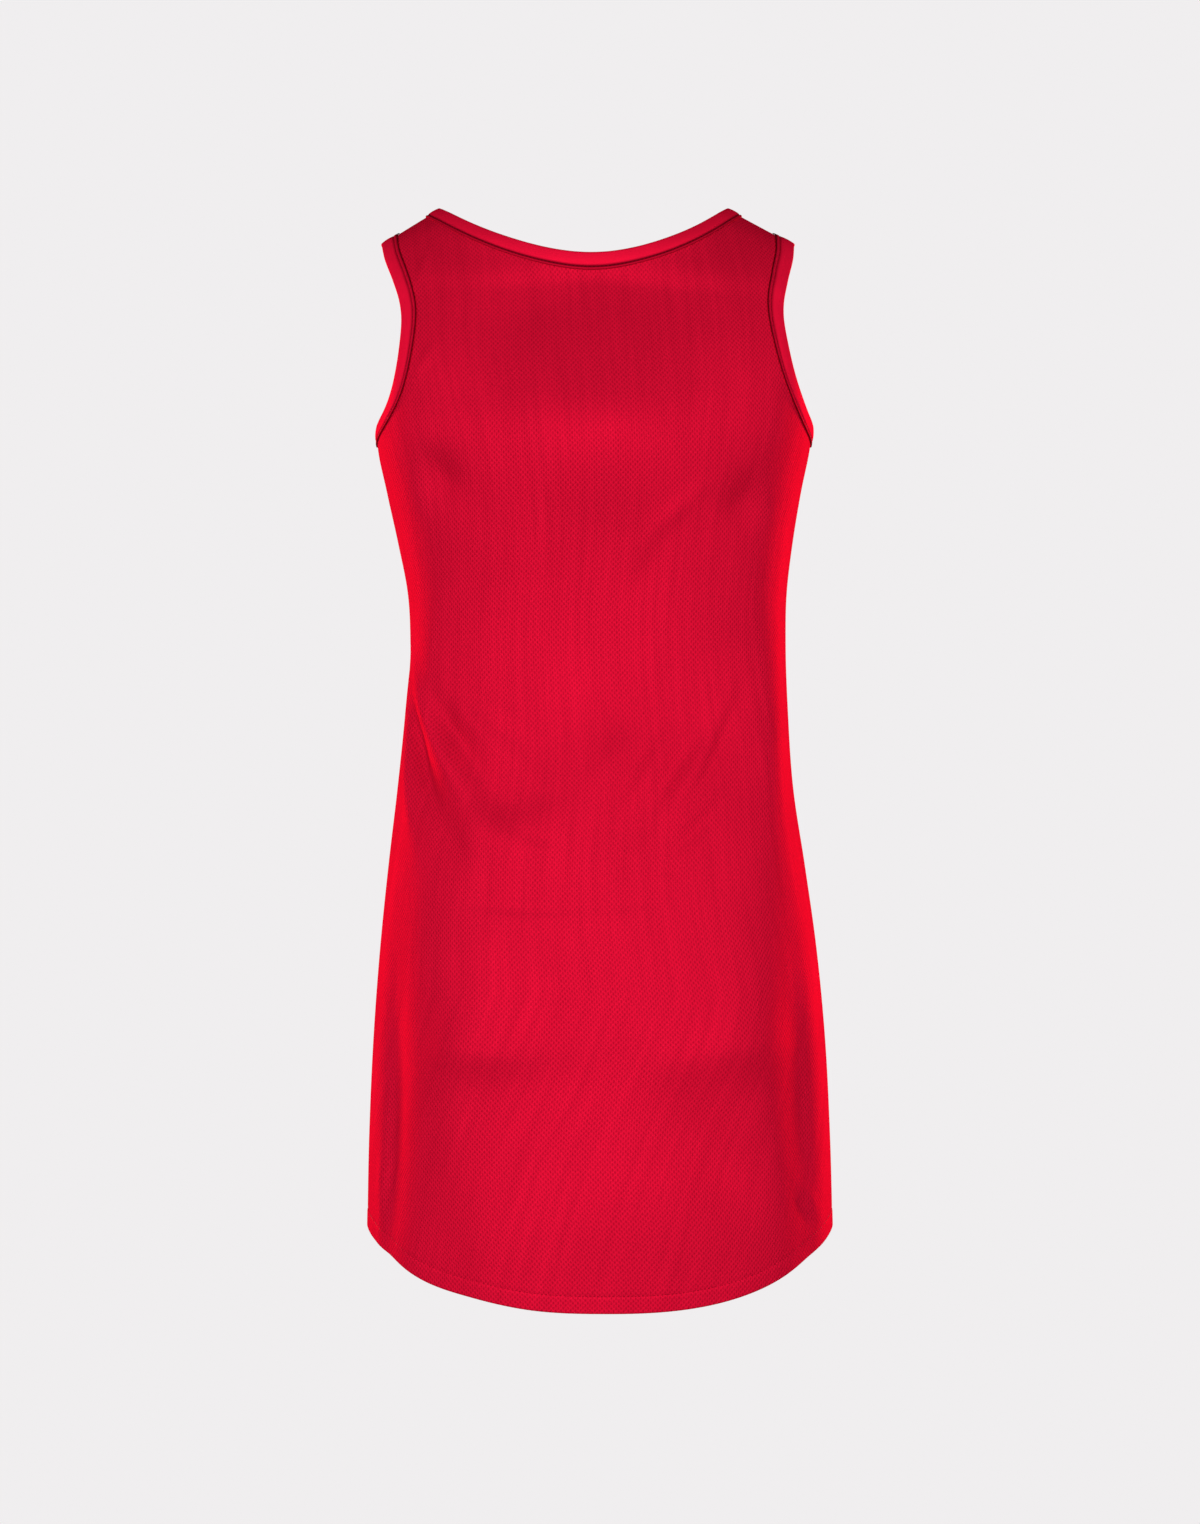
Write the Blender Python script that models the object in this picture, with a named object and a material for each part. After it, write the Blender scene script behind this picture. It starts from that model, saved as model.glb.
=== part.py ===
"""A sleeveless mesh-knit jersey dress, as it hangs on a general figure, hollow and open.

A back and a front panel are cut as flat pattern pieces, laid round the dress's form and joined
at the shoulders and sides. Three folded strips bind the neck and the two armholes.
Metres, Z up. The wearer faces -Y, so the back is towards +Y and the wearer's left is +X. The
origin is midway between the two shoulder points, where a wearer's shoulders hold the dress up.

A pattern point is (across, down): across runs round the body from the centre line, positive
towards the wearer's left, and down runs down the cloth from the shoulder seam.
"""
import math
from collections import namedtuple

import bmesh
import bpy
import numpy as np
from mathutils import Vector
from mathutils.geometry import delaunay_2d_cdt

# Cloth and gaps
WALL = 0.0012                 # mesh knit
STRIP_WALL = 0.0010           # each leaf of a folded binding
GAP = 0.0003                  # between pieces at a seam, and round a bound edge
HEM_TURNING = 0.0125          # depth of the turned-up hem
HEM_EXTRA = 0.0010            # how much thicker the turned-up cloth makes the wall

# Neck and shoulders
SHOULDER_POINT = 0.1130       # centre line to the neck end of the shoulder seam
SHOULDER_SLOPE = 0.585        # fall of the shoulder seam for each metre outwards
SHOULDER_TIP = 0.160          # centre line to the armhole end of the shoulder seam
NAPE = 0.03                   # how far the slope is eased at the centre line
NECK_SWAY = 0.0045            # how far the neck has slid to the wearer's left
YOKE = 0.180                  # the height over which the cloth turns over the shoulder
SHOULDER_ROUND = 0.25         # 0 is a full elliptical shoulder, more is a slacker one
NECK_CURVE = 2.05             # exponent of the scooped neck, 2 is a parabola
BACK_NECK_DROP = 0.0440       # shoulder points to the lowest point of the back neck
FRONT_NECK_DROP = 0.1050
NECK_STRIP = 0.0115           # finished width of the neck binding
ARMHOLE_STRIP = 0.0129        # finished width of the armhole bindings

# Body
QUARTER_GIRTH = 0.235         # centre line to side seam, on the flat pattern
SQUARENESS = 0.03             # how much squarer than an ellipse the dress is from above
BACK_HEM_DROP = 0.8410        # shoulder points to the lowest point of the back hem
FRONT_HEM_DROP = 0.8300
SIDE_HEM_DROP = 0.7888
HEM_CURVE = 2.6               # how late the hem turns up towards the side seams

# Spacing of the pattern's points
CLOTH_SPACING = 0.0170
EDGE_SPACING = 0.0120
HEM_POINTS = 37
ROW_SPACING = CLOTH_SPACING * math.sqrt(3) / 2
CLEARANCE = 0.0094            # least distance from a loose point to a drawn line's points
SAME_POINT = 1e-7

CURVE_SAMPLES = 400           # along a curve before its points are spaced evenly
SPAN_SAMPLES = 24             # between two rows of an armhole table
FOLD_SAMPLES = 15
FOLD_END_RISE = 0.35          # share of a fold's rise that is left at its ends
PATTERN_STEP = 0.0004         # over which the cloth's slopes are measured
WALK_STAGES = 4
BINDING_NOSE = 0.75           # how far the binding's rounded corners stand out, of its wall
BINDING_ROUND = 0.4           # how far the same corners sink back, of its wall
CREASE_ANGLE = math.radians(50)

QUARTER_TURN = math.pi / 2
YOKE_LENGTH = YOKE * QUARTER_TURN

# The dress at heights below its shoulder points: half its width, how far it sways to the
# wearer's left, and how far it stands behind and before the side seams.
Level = namedtuple("Level", "drop half_width sway behind before")
LEVELS = (
    Level(0.000, 0.1750, 0.0000, 0.104, 0.100),
    Level(0.060, 0.1742, -0.0035, 0.104, 0.101),
    Level(0.120, 0.1720, -0.0055, 0.105, 0.106),
    Level(0.150, 0.1692, -0.0062, 0.105, 0.110),
    Level(0.183, 0.1686, -0.0047, 0.106, 0.114),
    Level(0.220, 0.1613, -0.0047, 0.104, 0.118),
    Level(0.260, 0.1536, -0.0058, 0.099, 0.117),
    Level(0.300, 0.1475, -0.0073, 0.093, 0.109),
    Level(0.340, 0.1463, -0.0078, 0.089, 0.102),
    Level(0.390, 0.1490, -0.0068, 0.091, 0.100),
    Level(0.450, 0.1541, -0.0058, 0.102, 0.103),
    Level(0.510, 0.1621, -0.0068, 0.115, 0.108),
    Level(0.570, 0.1694, -0.0080, 0.123, 0.112),
    Level(0.640, 0.1755, -0.0088, 0.126, 0.116),
    Level(0.720, 0.1794, -0.0091, 0.127, 0.119),
    Level(0.800, 0.1812, -0.0094, 0.128, 0.122),
)

# Armhole edge of each panel, from the underarm to the shoulder tip: turn is degrees round from
# the panel's centre line, down is metres of cloth below the shoulder seam.
Edge = namedtuple("Edge", "turn down")
BACK_ARMHOLE = (
    Edge(90.0, 0.2720),
    Edge(80.5, 0.2685),
    Edge(71.5, 0.2600),
    Edge(64.0, 0.2455),
    Edge(58.8, 0.2280),
    Edge(55.6, 0.2070),
    Edge(53.6, 0.1800),
    Edge(54.0, 0.1550),
    Edge(56.6, 0.1250),
    Edge(60.0, 0.0900),
    Edge(61.6, 0.0600),
    Edge(63.0, 0.0000),
)
FRONT_ARMHOLE = (
    Edge(90.0, 0.2720),
    Edge(80.0, 0.2690),
    Edge(70.5, 0.2605),
    Edge(62.0, 0.2465),
    Edge(55.5, 0.2290),
    Edge(51.5, 0.2070),
    Edge(49.5, 0.1800),
    Edge(49.8, 0.1550),
    Edge(52.8, 0.1250),
    Edge(57.3, 0.0900),
    Edge(60.5, 0.0600),
    Edge(63.0, 0.0000),
)

# Largest folds. Each runs from start through middle to end, as degrees round from the centre
# back (positive towards the wearer's left, 180 is the centre front) and metres below the
# shoulder points. rise is how far its crest stands out, or its trough sinks in.
Fold = namedtuple("Fold", "start middle end rise width")
FOLDS = (
    # left waist, falling steeply into the small of the back
    Fold((82, 0.352), (66, 0.398), (50, 0.462), -0.0050, 0.0110),
    Fold((74, 0.345), (57, 0.398), (42, 0.438), 0.0042, 0.0090),
    Fold((86, 0.420), (66, 0.462), (50, 0.505), 0.0040, 0.0120),
    # swag across the small of the back
    Fold((52, 0.375), (20, 0.530), (-5, 0.412), -0.0042, 0.0120),
    Fold((42, 0.372), (18, 0.470), (2, 0.405), 0.0030, 0.0130),
    # soft ridges falling from the right waist
    Fold((-22, 0.395), (-14, 0.440), (-4, 0.490), 0.0032, 0.0120),
    Fold((-40, 0.395), (-26, 0.445), (-12, 0.500), 0.0036, 0.0130),
    Fold((-60, 0.400), (-44, 0.450), (-30, 0.520), -0.0030, 0.0150),
    # drag lines from the underarms
    Fold((50, 0.192), (38, 0.208), (26, 0.226), -0.0030, 0.0120),
    Fold((-52, 0.200), (-40, 0.222), (-28, 0.250), -0.0028, 0.0140),
    # hollow between the shoulder blades
    Fold((22, 0.110), (0, 0.150), (-26, 0.120), -0.0030, 0.0300),
    # soft flutes that open towards the hem
    Fold((60, 0.560), (54, 0.680), (52, 0.810), -0.0050, 0.0220),
    Fold((30, 0.640), (26, 0.720), (24, 0.840), 0.0035, 0.0240),
    Fold((-44, 0.620), (-50, 0.720), (-46, 0.820), -0.0045, 0.0230),
    Fold((-16, 0.660), (-14, 0.740), (-12, 0.850), 0.0028, 0.0240),
    # hidden front: bust drape, waist drags and hem flutes
    Fold((128, 0.300), (146, 0.345), (172, 0.380), -0.0040, 0.0120),
    Fold((-130, 0.310), (-150, 0.360), (-176, 0.392), -0.0036, 0.0130),
    Fold((118, 0.352), (140, 0.405), (166, 0.440), 0.0036, 0.0120),
    Fold((-112, 0.360), (-136, 0.410), (-158, 0.455), 0.0034, 0.0130),
    Fold((122, 0.580), (128, 0.700), (130, 0.820), -0.0045, 0.0230),
    Fold((160, 0.620), (164, 0.720), (166, 0.840), 0.0032, 0.0250),
    Fold((-126, 0.600), (-130, 0.710), (-128, 0.820), -0.0042, 0.0230),
    Fold((-158, 0.640), (-154, 0.730), (-152, 0.840), 0.0030, 0.0250),
)

BACK = 1
FRONT = -1
HEM_DROP = {BACK: BACK_HEM_DROP, FRONT: FRONT_HEM_DROP}
NECK_DROP = {BACK: BACK_NECK_DROP, FRONT: FRONT_NECK_DROP}
ARMHOLE = {BACK: BACK_ARMHOLE, FRONT: FRONT_ARMHOLE}
DEPTH_COLUMN = {BACK: "behind", FRONT: "before"}


# --- the dress's form ---------------------------------------------------------------------

def level(column, drop):
    """One column of LEVELS at each drop, on a smooth curve through the table's rows."""
    drops = np.array([row.drop for row in LEVELS])
    values = np.array([getattr(row, column) for row in LEVELS])
    slopes = np.gradient(values, drops)
    here = np.clip(drop, drops[0], drops[-1])
    upper = np.clip(np.searchsorted(drops, here, side="right"), 1, len(drops) - 1)
    lower = upper - 1
    span = drops[upper] - drops[lower]
    t = (here - drops[lower]) / span
    start = (1 + 2 * t) * (1 - t) ** 2 * values[lower] + t * (1 - t) ** 2 * span * slopes[lower]
    end = t ** 2 * (3 - 2 * t) * values[upper] + t ** 2 * (t - 1) * span * slopes[upper]
    return start + end


def sideways(turn):
    """How far out to the side the section is at a turn from its centre line, 1 at the seam."""
    return (np.sin(turn) + SQUARENESS * np.sin(3 * turn)) / (1 - SQUARENESS)


def outwards(turn):
    """How far out to the back or front the section is, 1 on its centre line."""
    return (np.cos(turn) - SQUARENESS * np.cos(3 * turn)) / (1 - SQUARENESS)


def ridge(x):
    """Height of the shoulder ridge, 0 at the shoulder points."""
    return SHOULDER_SLOPE * (math.hypot(SHOULDER_POINT, NAPE) - np.hypot(x, NAPE))


def down_at_drop(drop):
    """Metres of pattern for a drop below the yoke, where the cloth hangs straight."""
    return drop - YOKE + YOKE_LENGTH


def form(facing, pattern):
    """Points of the outer face before any fold, for an array of pattern points."""
    across, down = pattern[:, 0], pattern[:, 1]
    turn = across / QUARTER_GIRTH * QUARTER_TURN
    bend = np.minimum(down / YOKE, QUARTER_TURN)
    drop = YOKE * (1 - np.cos(bend)) + np.maximum(down - YOKE_LENGTH, 0)
    from_centre = level("half_width", drop) * sideways(turn)
    reach = np.sin(bend) * (1 - SHOULDER_ROUND * np.cos(bend) ** 2)
    depth = level(DEPTH_COLUMN[facing], drop) * reach * outwards(turn)
    slid = NECK_SWAY * np.cos(bend) ** 2 * (1 - (from_centre / SHOULDER_TIP) ** 4)
    x = level("sway", drop) + from_centre + slid
    y = facing * (GAP / 2 + depth)
    z = ridge(from_centre) * np.cos(bend) - drop
    return np.column_stack((x, y, z))


def facing_out(facing, pattern, surface):
    """Unit normals of a surface function, level with the seams at the seams."""
    beside = np.array((PATTERN_STEP, 0.0))
    below = np.array((0.0, PATTERN_STEP))
    to_side = surface(facing, pattern + beside) - surface(facing, pattern - beside)
    to_hem = surface(facing, pattern + below) - surface(facing, pattern - below)
    normals = facing * np.cross(to_side, to_hem)
    on_seam = np.isclose(np.abs(pattern[:, 0]), QUARTER_GIRTH) | np.isclose(pattern[:, 1], 0)
    normals[on_seam, 1] = 0
    return normals / np.linalg.norm(normals, axis=1)[:, None]


def fold_path(fold):
    """A fold's line as points (metres round from the centre back, down), end to end."""
    t = np.linspace(0, 1, FOLD_SAMPLES)[:, None]
    rows = np.array((fold.start, fold.middle, fold.end), float)
    rows[:, 0] *= QUARTER_GIRTH / 90
    rows[:, 1] = down_at_drop(rows[:, 1])
    return (1 - t) ** 2 * rows[0] + 2 * t * (1 - t) * rows[1] + t ** 2 * rows[2]


def fold_rise(facing, pattern):
    """How far the folds lift the cloth off its form at each pattern point."""
    across, down = pattern[:, 0], pattern[:, 1]
    girth = 4 * QUARTER_GIRTH
    round_back = across
    if facing == FRONT:
        round_back = np.where(across < 0, -1, 1) * 2 * QUARTER_GIRTH - across
    rise = np.zeros(len(pattern))
    for fold in FOLDS:
        path = fold_path(fold)
        sideways_gap = round_back[:, None] - path[None, :, 0]
        sideways_gap = (sideways_gap + girth / 2) % girth - girth / 2
        down_gap = down[:, None] - path[None, :, 1]
        gaps = np.hypot(sideways_gap, down_gap)
        place = gaps.argmin(axis=1) / (FOLD_SAMPLES - 1)
        taper = FOLD_END_RISE + (1 - FOLD_END_RISE) * np.sin(math.pi * place)
        rise += fold.rise * taper * np.exp(-(gaps.min(axis=1) / fold.width) ** 2)
    return rise


def draped(facing, pattern):
    """Points of the cloth's outer face, folds included."""
    lift = fold_rise(facing, pattern)
    return form(facing, pattern) + lift[:, None] * facing_out(facing, pattern, form)


def cloth(facing, pattern):
    """The outer face's points and normals."""
    return draped(facing, pattern), facing_out(facing, pattern, draped)


# --- pattern lines ------------------------------------------------------------------------

def line(start, end, spacing):
    """Evenly spaced pattern points from start to end, both included."""
    start, end = np.array(start, float), np.array(end, float)
    steps = max(1, round(np.linalg.norm(end - start) / spacing))
    return start + (end - start) * np.linspace(0, 1, steps + 1)[:, None]


def even_on_cloth(facing, curve, spacing):
    """The same curve with its points evenly spaced on the draped cloth."""
    steps = np.linalg.norm(np.diff(form(facing, curve), axis=0), axis=1)
    run = np.concatenate(([0], np.cumsum(steps)))
    count = math.ceil(run[-1] / spacing)
    wanted = np.linspace(0, run[-1], count + 1)
    return np.column_stack([np.interp(wanted, run, curve[:, i]) for i in (0, 1)])


def mirrored(curve):
    """The curve on the panel's other half, run backwards so that lines still join up."""
    return (curve * np.array((-1, 1)))[::-1]


def hem_line(facing, across):
    """Hem edge below each across value."""
    turn = across / QUARTER_GIRTH * QUARTER_TURN
    lift = (HEM_DROP[facing] - SIDE_HEM_DROP) * np.abs(np.sin(turn)) ** HEM_CURVE
    return down_at_drop(HEM_DROP[facing] - lift)


def neck_line(facing):
    """Neck edge from the wearer's left shoulder point to the right one."""
    turns = np.linspace(0, QUARTER_TURN, CURVE_SAMPLES)
    t = np.linspace(0, 1, CURVE_SAMPLES)
    from_centre = SHOULDER_POINT * np.cos(math.pi * t)
    fall = NECK_DROP[facing] * (1 - (np.abs(from_centre) / SHOULDER_POINT) ** NECK_CURVE)
    bend = np.arccos(np.clip((YOKE - fall) / (YOKE + ridge(from_centre)), -1, 1))
    half_width = level("half_width", YOKE * (1 - np.cos(bend)))
    turn = np.interp(np.abs(from_centre) / half_width, sideways(turns), turns)
    across = np.sign(from_centre) * turn * QUARTER_GIRTH / QUARTER_TURN
    return even_on_cloth(facing, np.column_stack((across, YOKE * bend)), EDGE_SPACING)


def armhole_line(facing):
    """Left armhole edge from the underarm to the shoulder tip, smooth through its table."""
    rows = np.array([(row.turn / 90 * QUARTER_GIRTH, row.down) for row in ARMHOLE[facing]])
    before_first = rows[1] * (-1, 1) + (2 * rows[0][0], 0)
    after_last = 2 * rows[-1] - rows[-2]
    rows = np.vstack((before_first, rows, after_last))
    t = np.linspace(0, 1, SPAN_SAMPLES, endpoint=False)[:, None]
    spans = []
    for before, start, end, after in zip(rows, rows[1:], rows[2:], rows[3:]):
        straight = 2 * start + (end - before) * t
        squared = (2 * before - 5 * start + 4 * end - after) * t ** 2
        cubed = (3 * start - before - 3 * end + after) * t ** 3
        spans.append((straight + squared + cubed) / 2)
    curve = np.vstack(spans + [rows[-2:-1]])
    return even_on_cloth(facing, curve, EDGE_SPACING)


def walk_in(facing, edge, width):
    """The line on the cloth that lies width in from an edge line and square to it."""
    pattern = edge.copy()
    along = np.gradient(form(facing, edge), axis=0)
    beside = np.array((PATTERN_STEP, 0.0))
    below = np.array((0.0, PATTERN_STEP))
    for _ in range(WALK_STAGES):
        to_side = form(facing, pattern + beside) - form(facing, pattern - beside)
        to_hem = form(facing, pattern + below) - form(facing, pattern - below)
        to_side /= 2 * PATTERN_STEP
        to_hem /= 2 * PATTERN_STEP
        inward = facing * np.cross(along, facing_out(facing, pattern, form))
        inward *= width / WALK_STAGES / np.linalg.norm(inward, axis=1)[:, None]
        side_side = (to_side * to_side).sum(axis=1)
        side_hem = (to_side * to_hem).sum(axis=1)
        hem_hem = (to_hem * to_hem).sum(axis=1)
        side_in = (to_side * inward).sum(axis=1)
        hem_in = (to_hem * inward).sum(axis=1)
        area = side_side * hem_hem - side_hem ** 2
        pattern[:, 0] += (side_in * hem_hem - hem_in * side_hem) / area
        pattern[:, 1] += (hem_in * side_side - side_in * side_hem) / area
    return pattern


def along_seam(facing, start, direction, width):
    """The point on a seam that is width of cloth along it from start."""
    start = np.array(start, float)
    step = np.array(direction) * PATTERN_STEP
    ends = form(facing, np.array((start, start + step)))
    return start + step * width / np.linalg.norm(ends[1] - ends[0])


def bound_edges(facing):
    """The panel's bound edges with the lines where their strips end, in the pattern."""
    neck = neck_line(facing)
    neck_inner = walk_in(facing, neck, NECK_STRIP)
    neck_inner[0] = along_seam(facing, neck[0], (1, 0), NECK_STRIP)
    neck_inner[-1] = neck_inner[0] * (-1, 1)
    armhole = armhole_line(facing)
    armhole_inner = walk_in(facing, armhole, ARMHOLE_STRIP)
    armhole_inner[0] = along_seam(facing, armhole[0], (0, 1), ARMHOLE_STRIP)
    armhole_inner[-1] = along_seam(facing, armhole[-1], (-1, 0), ARMHOLE_STRIP)
    return neck, neck_inner, armhole, armhole_inner


# --- panels -------------------------------------------------------------------------------

def inside(points, outline):
    """Which points lie inside a closed outline."""
    x, y = points[:, 0][:, None], points[:, 1][:, None]
    start, end = outline, np.roll(outline, -1, axis=0)
    crosses = (start[:, 1] > y) != (end[:, 1] > y)
    rise = np.where(end[:, 1] == start[:, 1], 1, end[:, 1] - start[:, 1])
    crossing = start[:, 0] + (y - start[:, 1]) / rise * (end[:, 0] - start[:, 0])
    return (crosses & (x < crossing)).sum(axis=1) % 2 == 1


def cut_panel(facing):
    """The panel's flat pattern piece: its points and its triangles."""
    neck, neck_inner, armhole, armhole_inner = bound_edges(facing)
    hem_across = np.linspace(QUARTER_GIRTH, -QUARTER_GIRTH, HEM_POINTS)
    hem = np.column_stack((hem_across, hem_line(facing, hem_across)))
    turning = hem - (0, HEM_TURNING)
    step_line = hem - (0, HEM_TURNING + 2 * HEM_EXTRA)
    side_seam = line(armhole_inner[0], step_line[0], CLOTH_SPACING)
    shoulder_seam = line(armhole_inner[-1], neck_inner[0], EDGE_SPACING)
    side = np.vstack((armhole[:1], side_seam, turning[:1], hem[:1]))
    shoulder = np.vstack((armhole[-1:], shoulder_seam, neck[:1]))
    half = (side[::-1], armhole, shoulder)
    outline = [neck, *half, *[mirrored(part) for part in half], hem]
    bound = [(neck, neck_inner), (armhole, armhole_inner)]
    bound.append((mirrored(armhole), mirrored(armhole_inner)))
    drawn_lines = outline + [turning, step_line]
    for edge, inner in bound:
        drawn_lines.append(inner)
        drawn_lines.extend(np.array(rung) for rung in zip(edge, inner))
        first, second = (edge, inner) if facing == BACK else (inner, edge)
        drawn_lines.extend(np.array(diagonal) for diagonal in zip(first, second[1:]))

    inner_half = (side_seam[::-1], armhole_inner, shoulder_seam)
    other_half = [mirrored(part) for part in reversed(inner_half)]
    field = np.vstack((step_line[::-1], *inner_half, neck_inner, *other_half))
    rows = round(hem_line(facing, 0) / ROW_SPACING)
    columns = round(QUARTER_GIRTH / CLOTH_SPACING)
    loose = []
    for row in range(1, rows):
        shift = 0.5 * (row % 2)
        across = (np.arange(-columns, columns + 1) + shift) * CLOTH_SPACING
        down = (hem_line(facing, across) - HEM_TURNING - 2 * HEM_EXTRA) * row / rows
        loose.append(np.column_stack((across, down)))
    loose = np.vstack(loose)
    drawn = np.vstack(drawn_lines)
    to_drawn = np.linalg.norm(loose[:, None] - drawn[None], axis=2).min(axis=1)
    loose = loose[(to_drawn > CLEARANCE) & inside(loose, field)]

    points = []
    place = {}
    edges = []
    for drawn_line in drawn_lines:
        ends = []
        for point in drawn_line:
            key = tuple(np.round(point, 6))
            if key not in place:
                place[key] = len(points)
                points.append(point)
            ends.append(place[key])
        edges.extend((a, b) for a, b in zip(ends, ends[1:]) if a != b)
    points = np.vstack((points, loose))
    corners = [Vector(point) for point in points]
    inside_lines = 1
    _, _, triangles, *_ = delaunay_2d_cdt(corners, edges, [], inside_lines, SAME_POINT)
    return points, triangles


def wall_depth(facing, pattern):
    """Thickness of the cloth at each pattern point: more where the hem is turned up."""
    above_hem = hem_line(facing, pattern[:, 0]) - pattern[:, 1]
    return np.where(above_hem < HEM_TURNING + HEM_EXTRA, WALL + HEM_EXTRA, WALL)


def make_panel(name, facing, material):
    """A panel as one closed wall: outer face, inner face and the rim between them."""
    pattern, triangles = cut_panel(facing)
    outer, normals = cloth(facing, pattern)
    inner = outer - normals * wall_depth(facing, pattern)[:, None]
    count = len(outer)
    faces = [tuple(corner) for corner in triangles]
    if facing == FRONT:
        faces = [corner[::-1] for corner in faces]
    directed = {(a, b) for face in faces for a, b in zip(face, face[1:] + face[:1])}
    rim = [(a, b) for a, b in directed if (b, a) not in directed]
    inner_faces = [tuple(count + i for i in reversed(face)) for face in faces]
    walls = [(b, a, count + a, count + b) for a, b in sorted(rim)]
    make_object(name, np.vstack((outer, inner)), faces + inner_faces + walls, material)


# --- bindings -----------------------------------------------------------------------------

def strip_stations(facing, edge, inner):
    """Where a folded strip sits along one panel's edge: at the edge, and at its inner line."""
    edge_point, edge_normal = cloth(facing, edge)
    inner_point, inner_normal = cloth(facing, inner)
    return np.stack((edge_point, edge_normal, inner_point, inner_normal), axis=1)


def strip_section(station):
    """The folded strip's section round the cloth's raw edge, as a closed ring of points."""
    edge, edge_out, inner, inner_out = station
    beyond = edge - inner
    beyond /= np.linalg.norm(beyond)
    outside = GAP + STRIP_WALL
    under = WALL + GAP
    far_under = WALL + GAP + STRIP_WALL
    nose = beyond * (GAP + BINDING_NOSE * STRIP_WALL)
    sunk = BINDING_ROUND * STRIP_WALL
    return (
        inner + inner_out * outside,
        edge + edge_out * outside,
        edge + edge_out * (outside - sunk) + nose,
        edge - edge_out * WALL / 2 + beyond * (GAP + STRIP_WALL),
        edge - edge_out * (far_under - sunk) + nose,
        edge - edge_out * far_under,
        inner - inner_out * far_under,
        inner - inner_out * under,
        edge - edge_out * under + beyond * GAP,
        edge + edge_out * GAP + beyond * GAP,
        inner + inner_out * GAP,
    )


# Corners of the section that a leaf's face starts from when it runs from its inner line out to
# its edge. Each leaf is creased as the panel under it is, from the edge on to the next rung.
RISING_LEAVES = (0, 7)


def make_binding(name, back_stations, front_stations, material):
    """One folded strip, closed into a ring: along the back edge and home along the front."""
    ring = np.concatenate((back_stations, front_stations[1:-1]))
    seams = (0, len(back_stations) - 1)
    for seam in seams:
        ring[seam, 0, 1] = 0
        ring[seam, 2, 1] = 0
    sections = np.array([strip_section(station) for station in ring])
    stations, corners, _ = sections.shape
    faces = []
    for i in range(stations):
        j = (i + 1) % stations
        for k in range(corners):
            m = (k + 1) % corners
            a, b = i * corners + k, i * corners + m
            c, d = j * corners + m, j * corners + k
            if k in RISING_LEAVES:
                faces.extend(((a, b, d), (b, c, d)))
            else:
                faces.extend(((a, b, c), (a, c, d)))
    make_object(name, sections.reshape(-1, 3), faces, material)


# --- objects ------------------------------------------------------------------------------

def make_object(name, points, faces, material):
    """A closed, smooth-shaded object with its faces turned outwards."""
    mesh = bpy.data.meshes.new(name)
    mesh.from_pydata([tuple(point) for point in points], [], faces)
    solid = bmesh.new()
    solid.from_mesh(mesh)
    bmesh.ops.triangulate(solid, faces=solid.faces)
    bmesh.ops.recalc_face_normals(solid, faces=solid.faces)
    solid.to_mesh(mesh)
    solid.free()
    mesh.shade_smooth()
    mesh.set_sharp_from_angle(angle=CREASE_ANGLE)
    mesh.materials.append(material)
    piece = bpy.data.objects.new(name, mesh)
    bpy.context.collection.objects.link(piece)


def knit(name, colour, roughness):
    """A matt knit of one linear colour."""
    material = bpy.data.materials.new(name)
    material.use_nodes = True
    shader = material.node_tree.nodes["Principled BSDF"]
    shader.inputs["Base Color"].default_value = (*colour, 1)
    shader.inputs["Roughness"].default_value = roughness
    shader.inputs["Metallic"].default_value = 0
    return material


def make_dress():
    """Both panels and the three bindings."""
    mesh_knit = knit("red mesh knit", (0.64, 0.005, 0.030), 0.75)
    plain_knit = knit("red plain knit", (0.70, 0.005, 0.032), 0.65)
    make_panel("back_panel", BACK, mesh_knit)
    make_panel("front_panel", FRONT, mesh_knit)

    back_neck, back_neck_inner, back_hole, back_hole_inner = bound_edges(BACK)
    front_neck, front_neck_inner, front_hole, front_hole_inner = bound_edges(FRONT)
    make_binding(
        "neck_binding",
        strip_stations(BACK, back_neck, back_neck_inner),
        strip_stations(FRONT, front_neck, front_neck_inner)[::-1],
        plain_knit,
    )
    make_binding(
        "armhole_binding_left",
        strip_stations(BACK, back_hole, back_hole_inner),
        strip_stations(FRONT, front_hole, front_hole_inner)[::-1],
        plain_knit,
    )
    make_binding(
        "armhole_binding_right",
        strip_stations(BACK, mirrored(back_hole), mirrored(back_hole_inner)),
        strip_stations(FRONT, mirrored(front_hole), mirrored(front_hole_inner))[::-1],
        plain_knit,
    )


for old in list(bpy.data.objects):
    bpy.data.objects.remove(old)
make_dress()
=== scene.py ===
import math
from collections import namedtuple

import bpy
import numpy as np
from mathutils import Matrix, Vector
from mathutils.geometry import delaunay_2d_cdt
from mathutils.kdtree import KDTree


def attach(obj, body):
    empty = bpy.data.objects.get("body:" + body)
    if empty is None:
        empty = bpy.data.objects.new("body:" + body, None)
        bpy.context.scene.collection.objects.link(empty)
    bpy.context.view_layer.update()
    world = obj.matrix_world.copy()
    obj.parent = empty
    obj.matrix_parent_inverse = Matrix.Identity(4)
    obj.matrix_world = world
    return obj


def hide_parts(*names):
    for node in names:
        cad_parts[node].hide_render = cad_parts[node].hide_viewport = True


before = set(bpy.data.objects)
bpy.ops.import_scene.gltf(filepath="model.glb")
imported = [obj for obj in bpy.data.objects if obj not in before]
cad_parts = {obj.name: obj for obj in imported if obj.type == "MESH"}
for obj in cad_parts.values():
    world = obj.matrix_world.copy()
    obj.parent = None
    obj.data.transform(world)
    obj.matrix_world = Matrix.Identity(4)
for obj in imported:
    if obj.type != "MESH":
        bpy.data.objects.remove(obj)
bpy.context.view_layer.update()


# --- Studio -------------------------------------------------------------------------------
# A plain pale studio: one soft light facing the dress's back, and on each hand a key light, a
# side light, and a rim light set behind the dress that brightens its flank. The camera stands
# square behind the dress, in an even pale surround with a round floor well below the hem.

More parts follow.
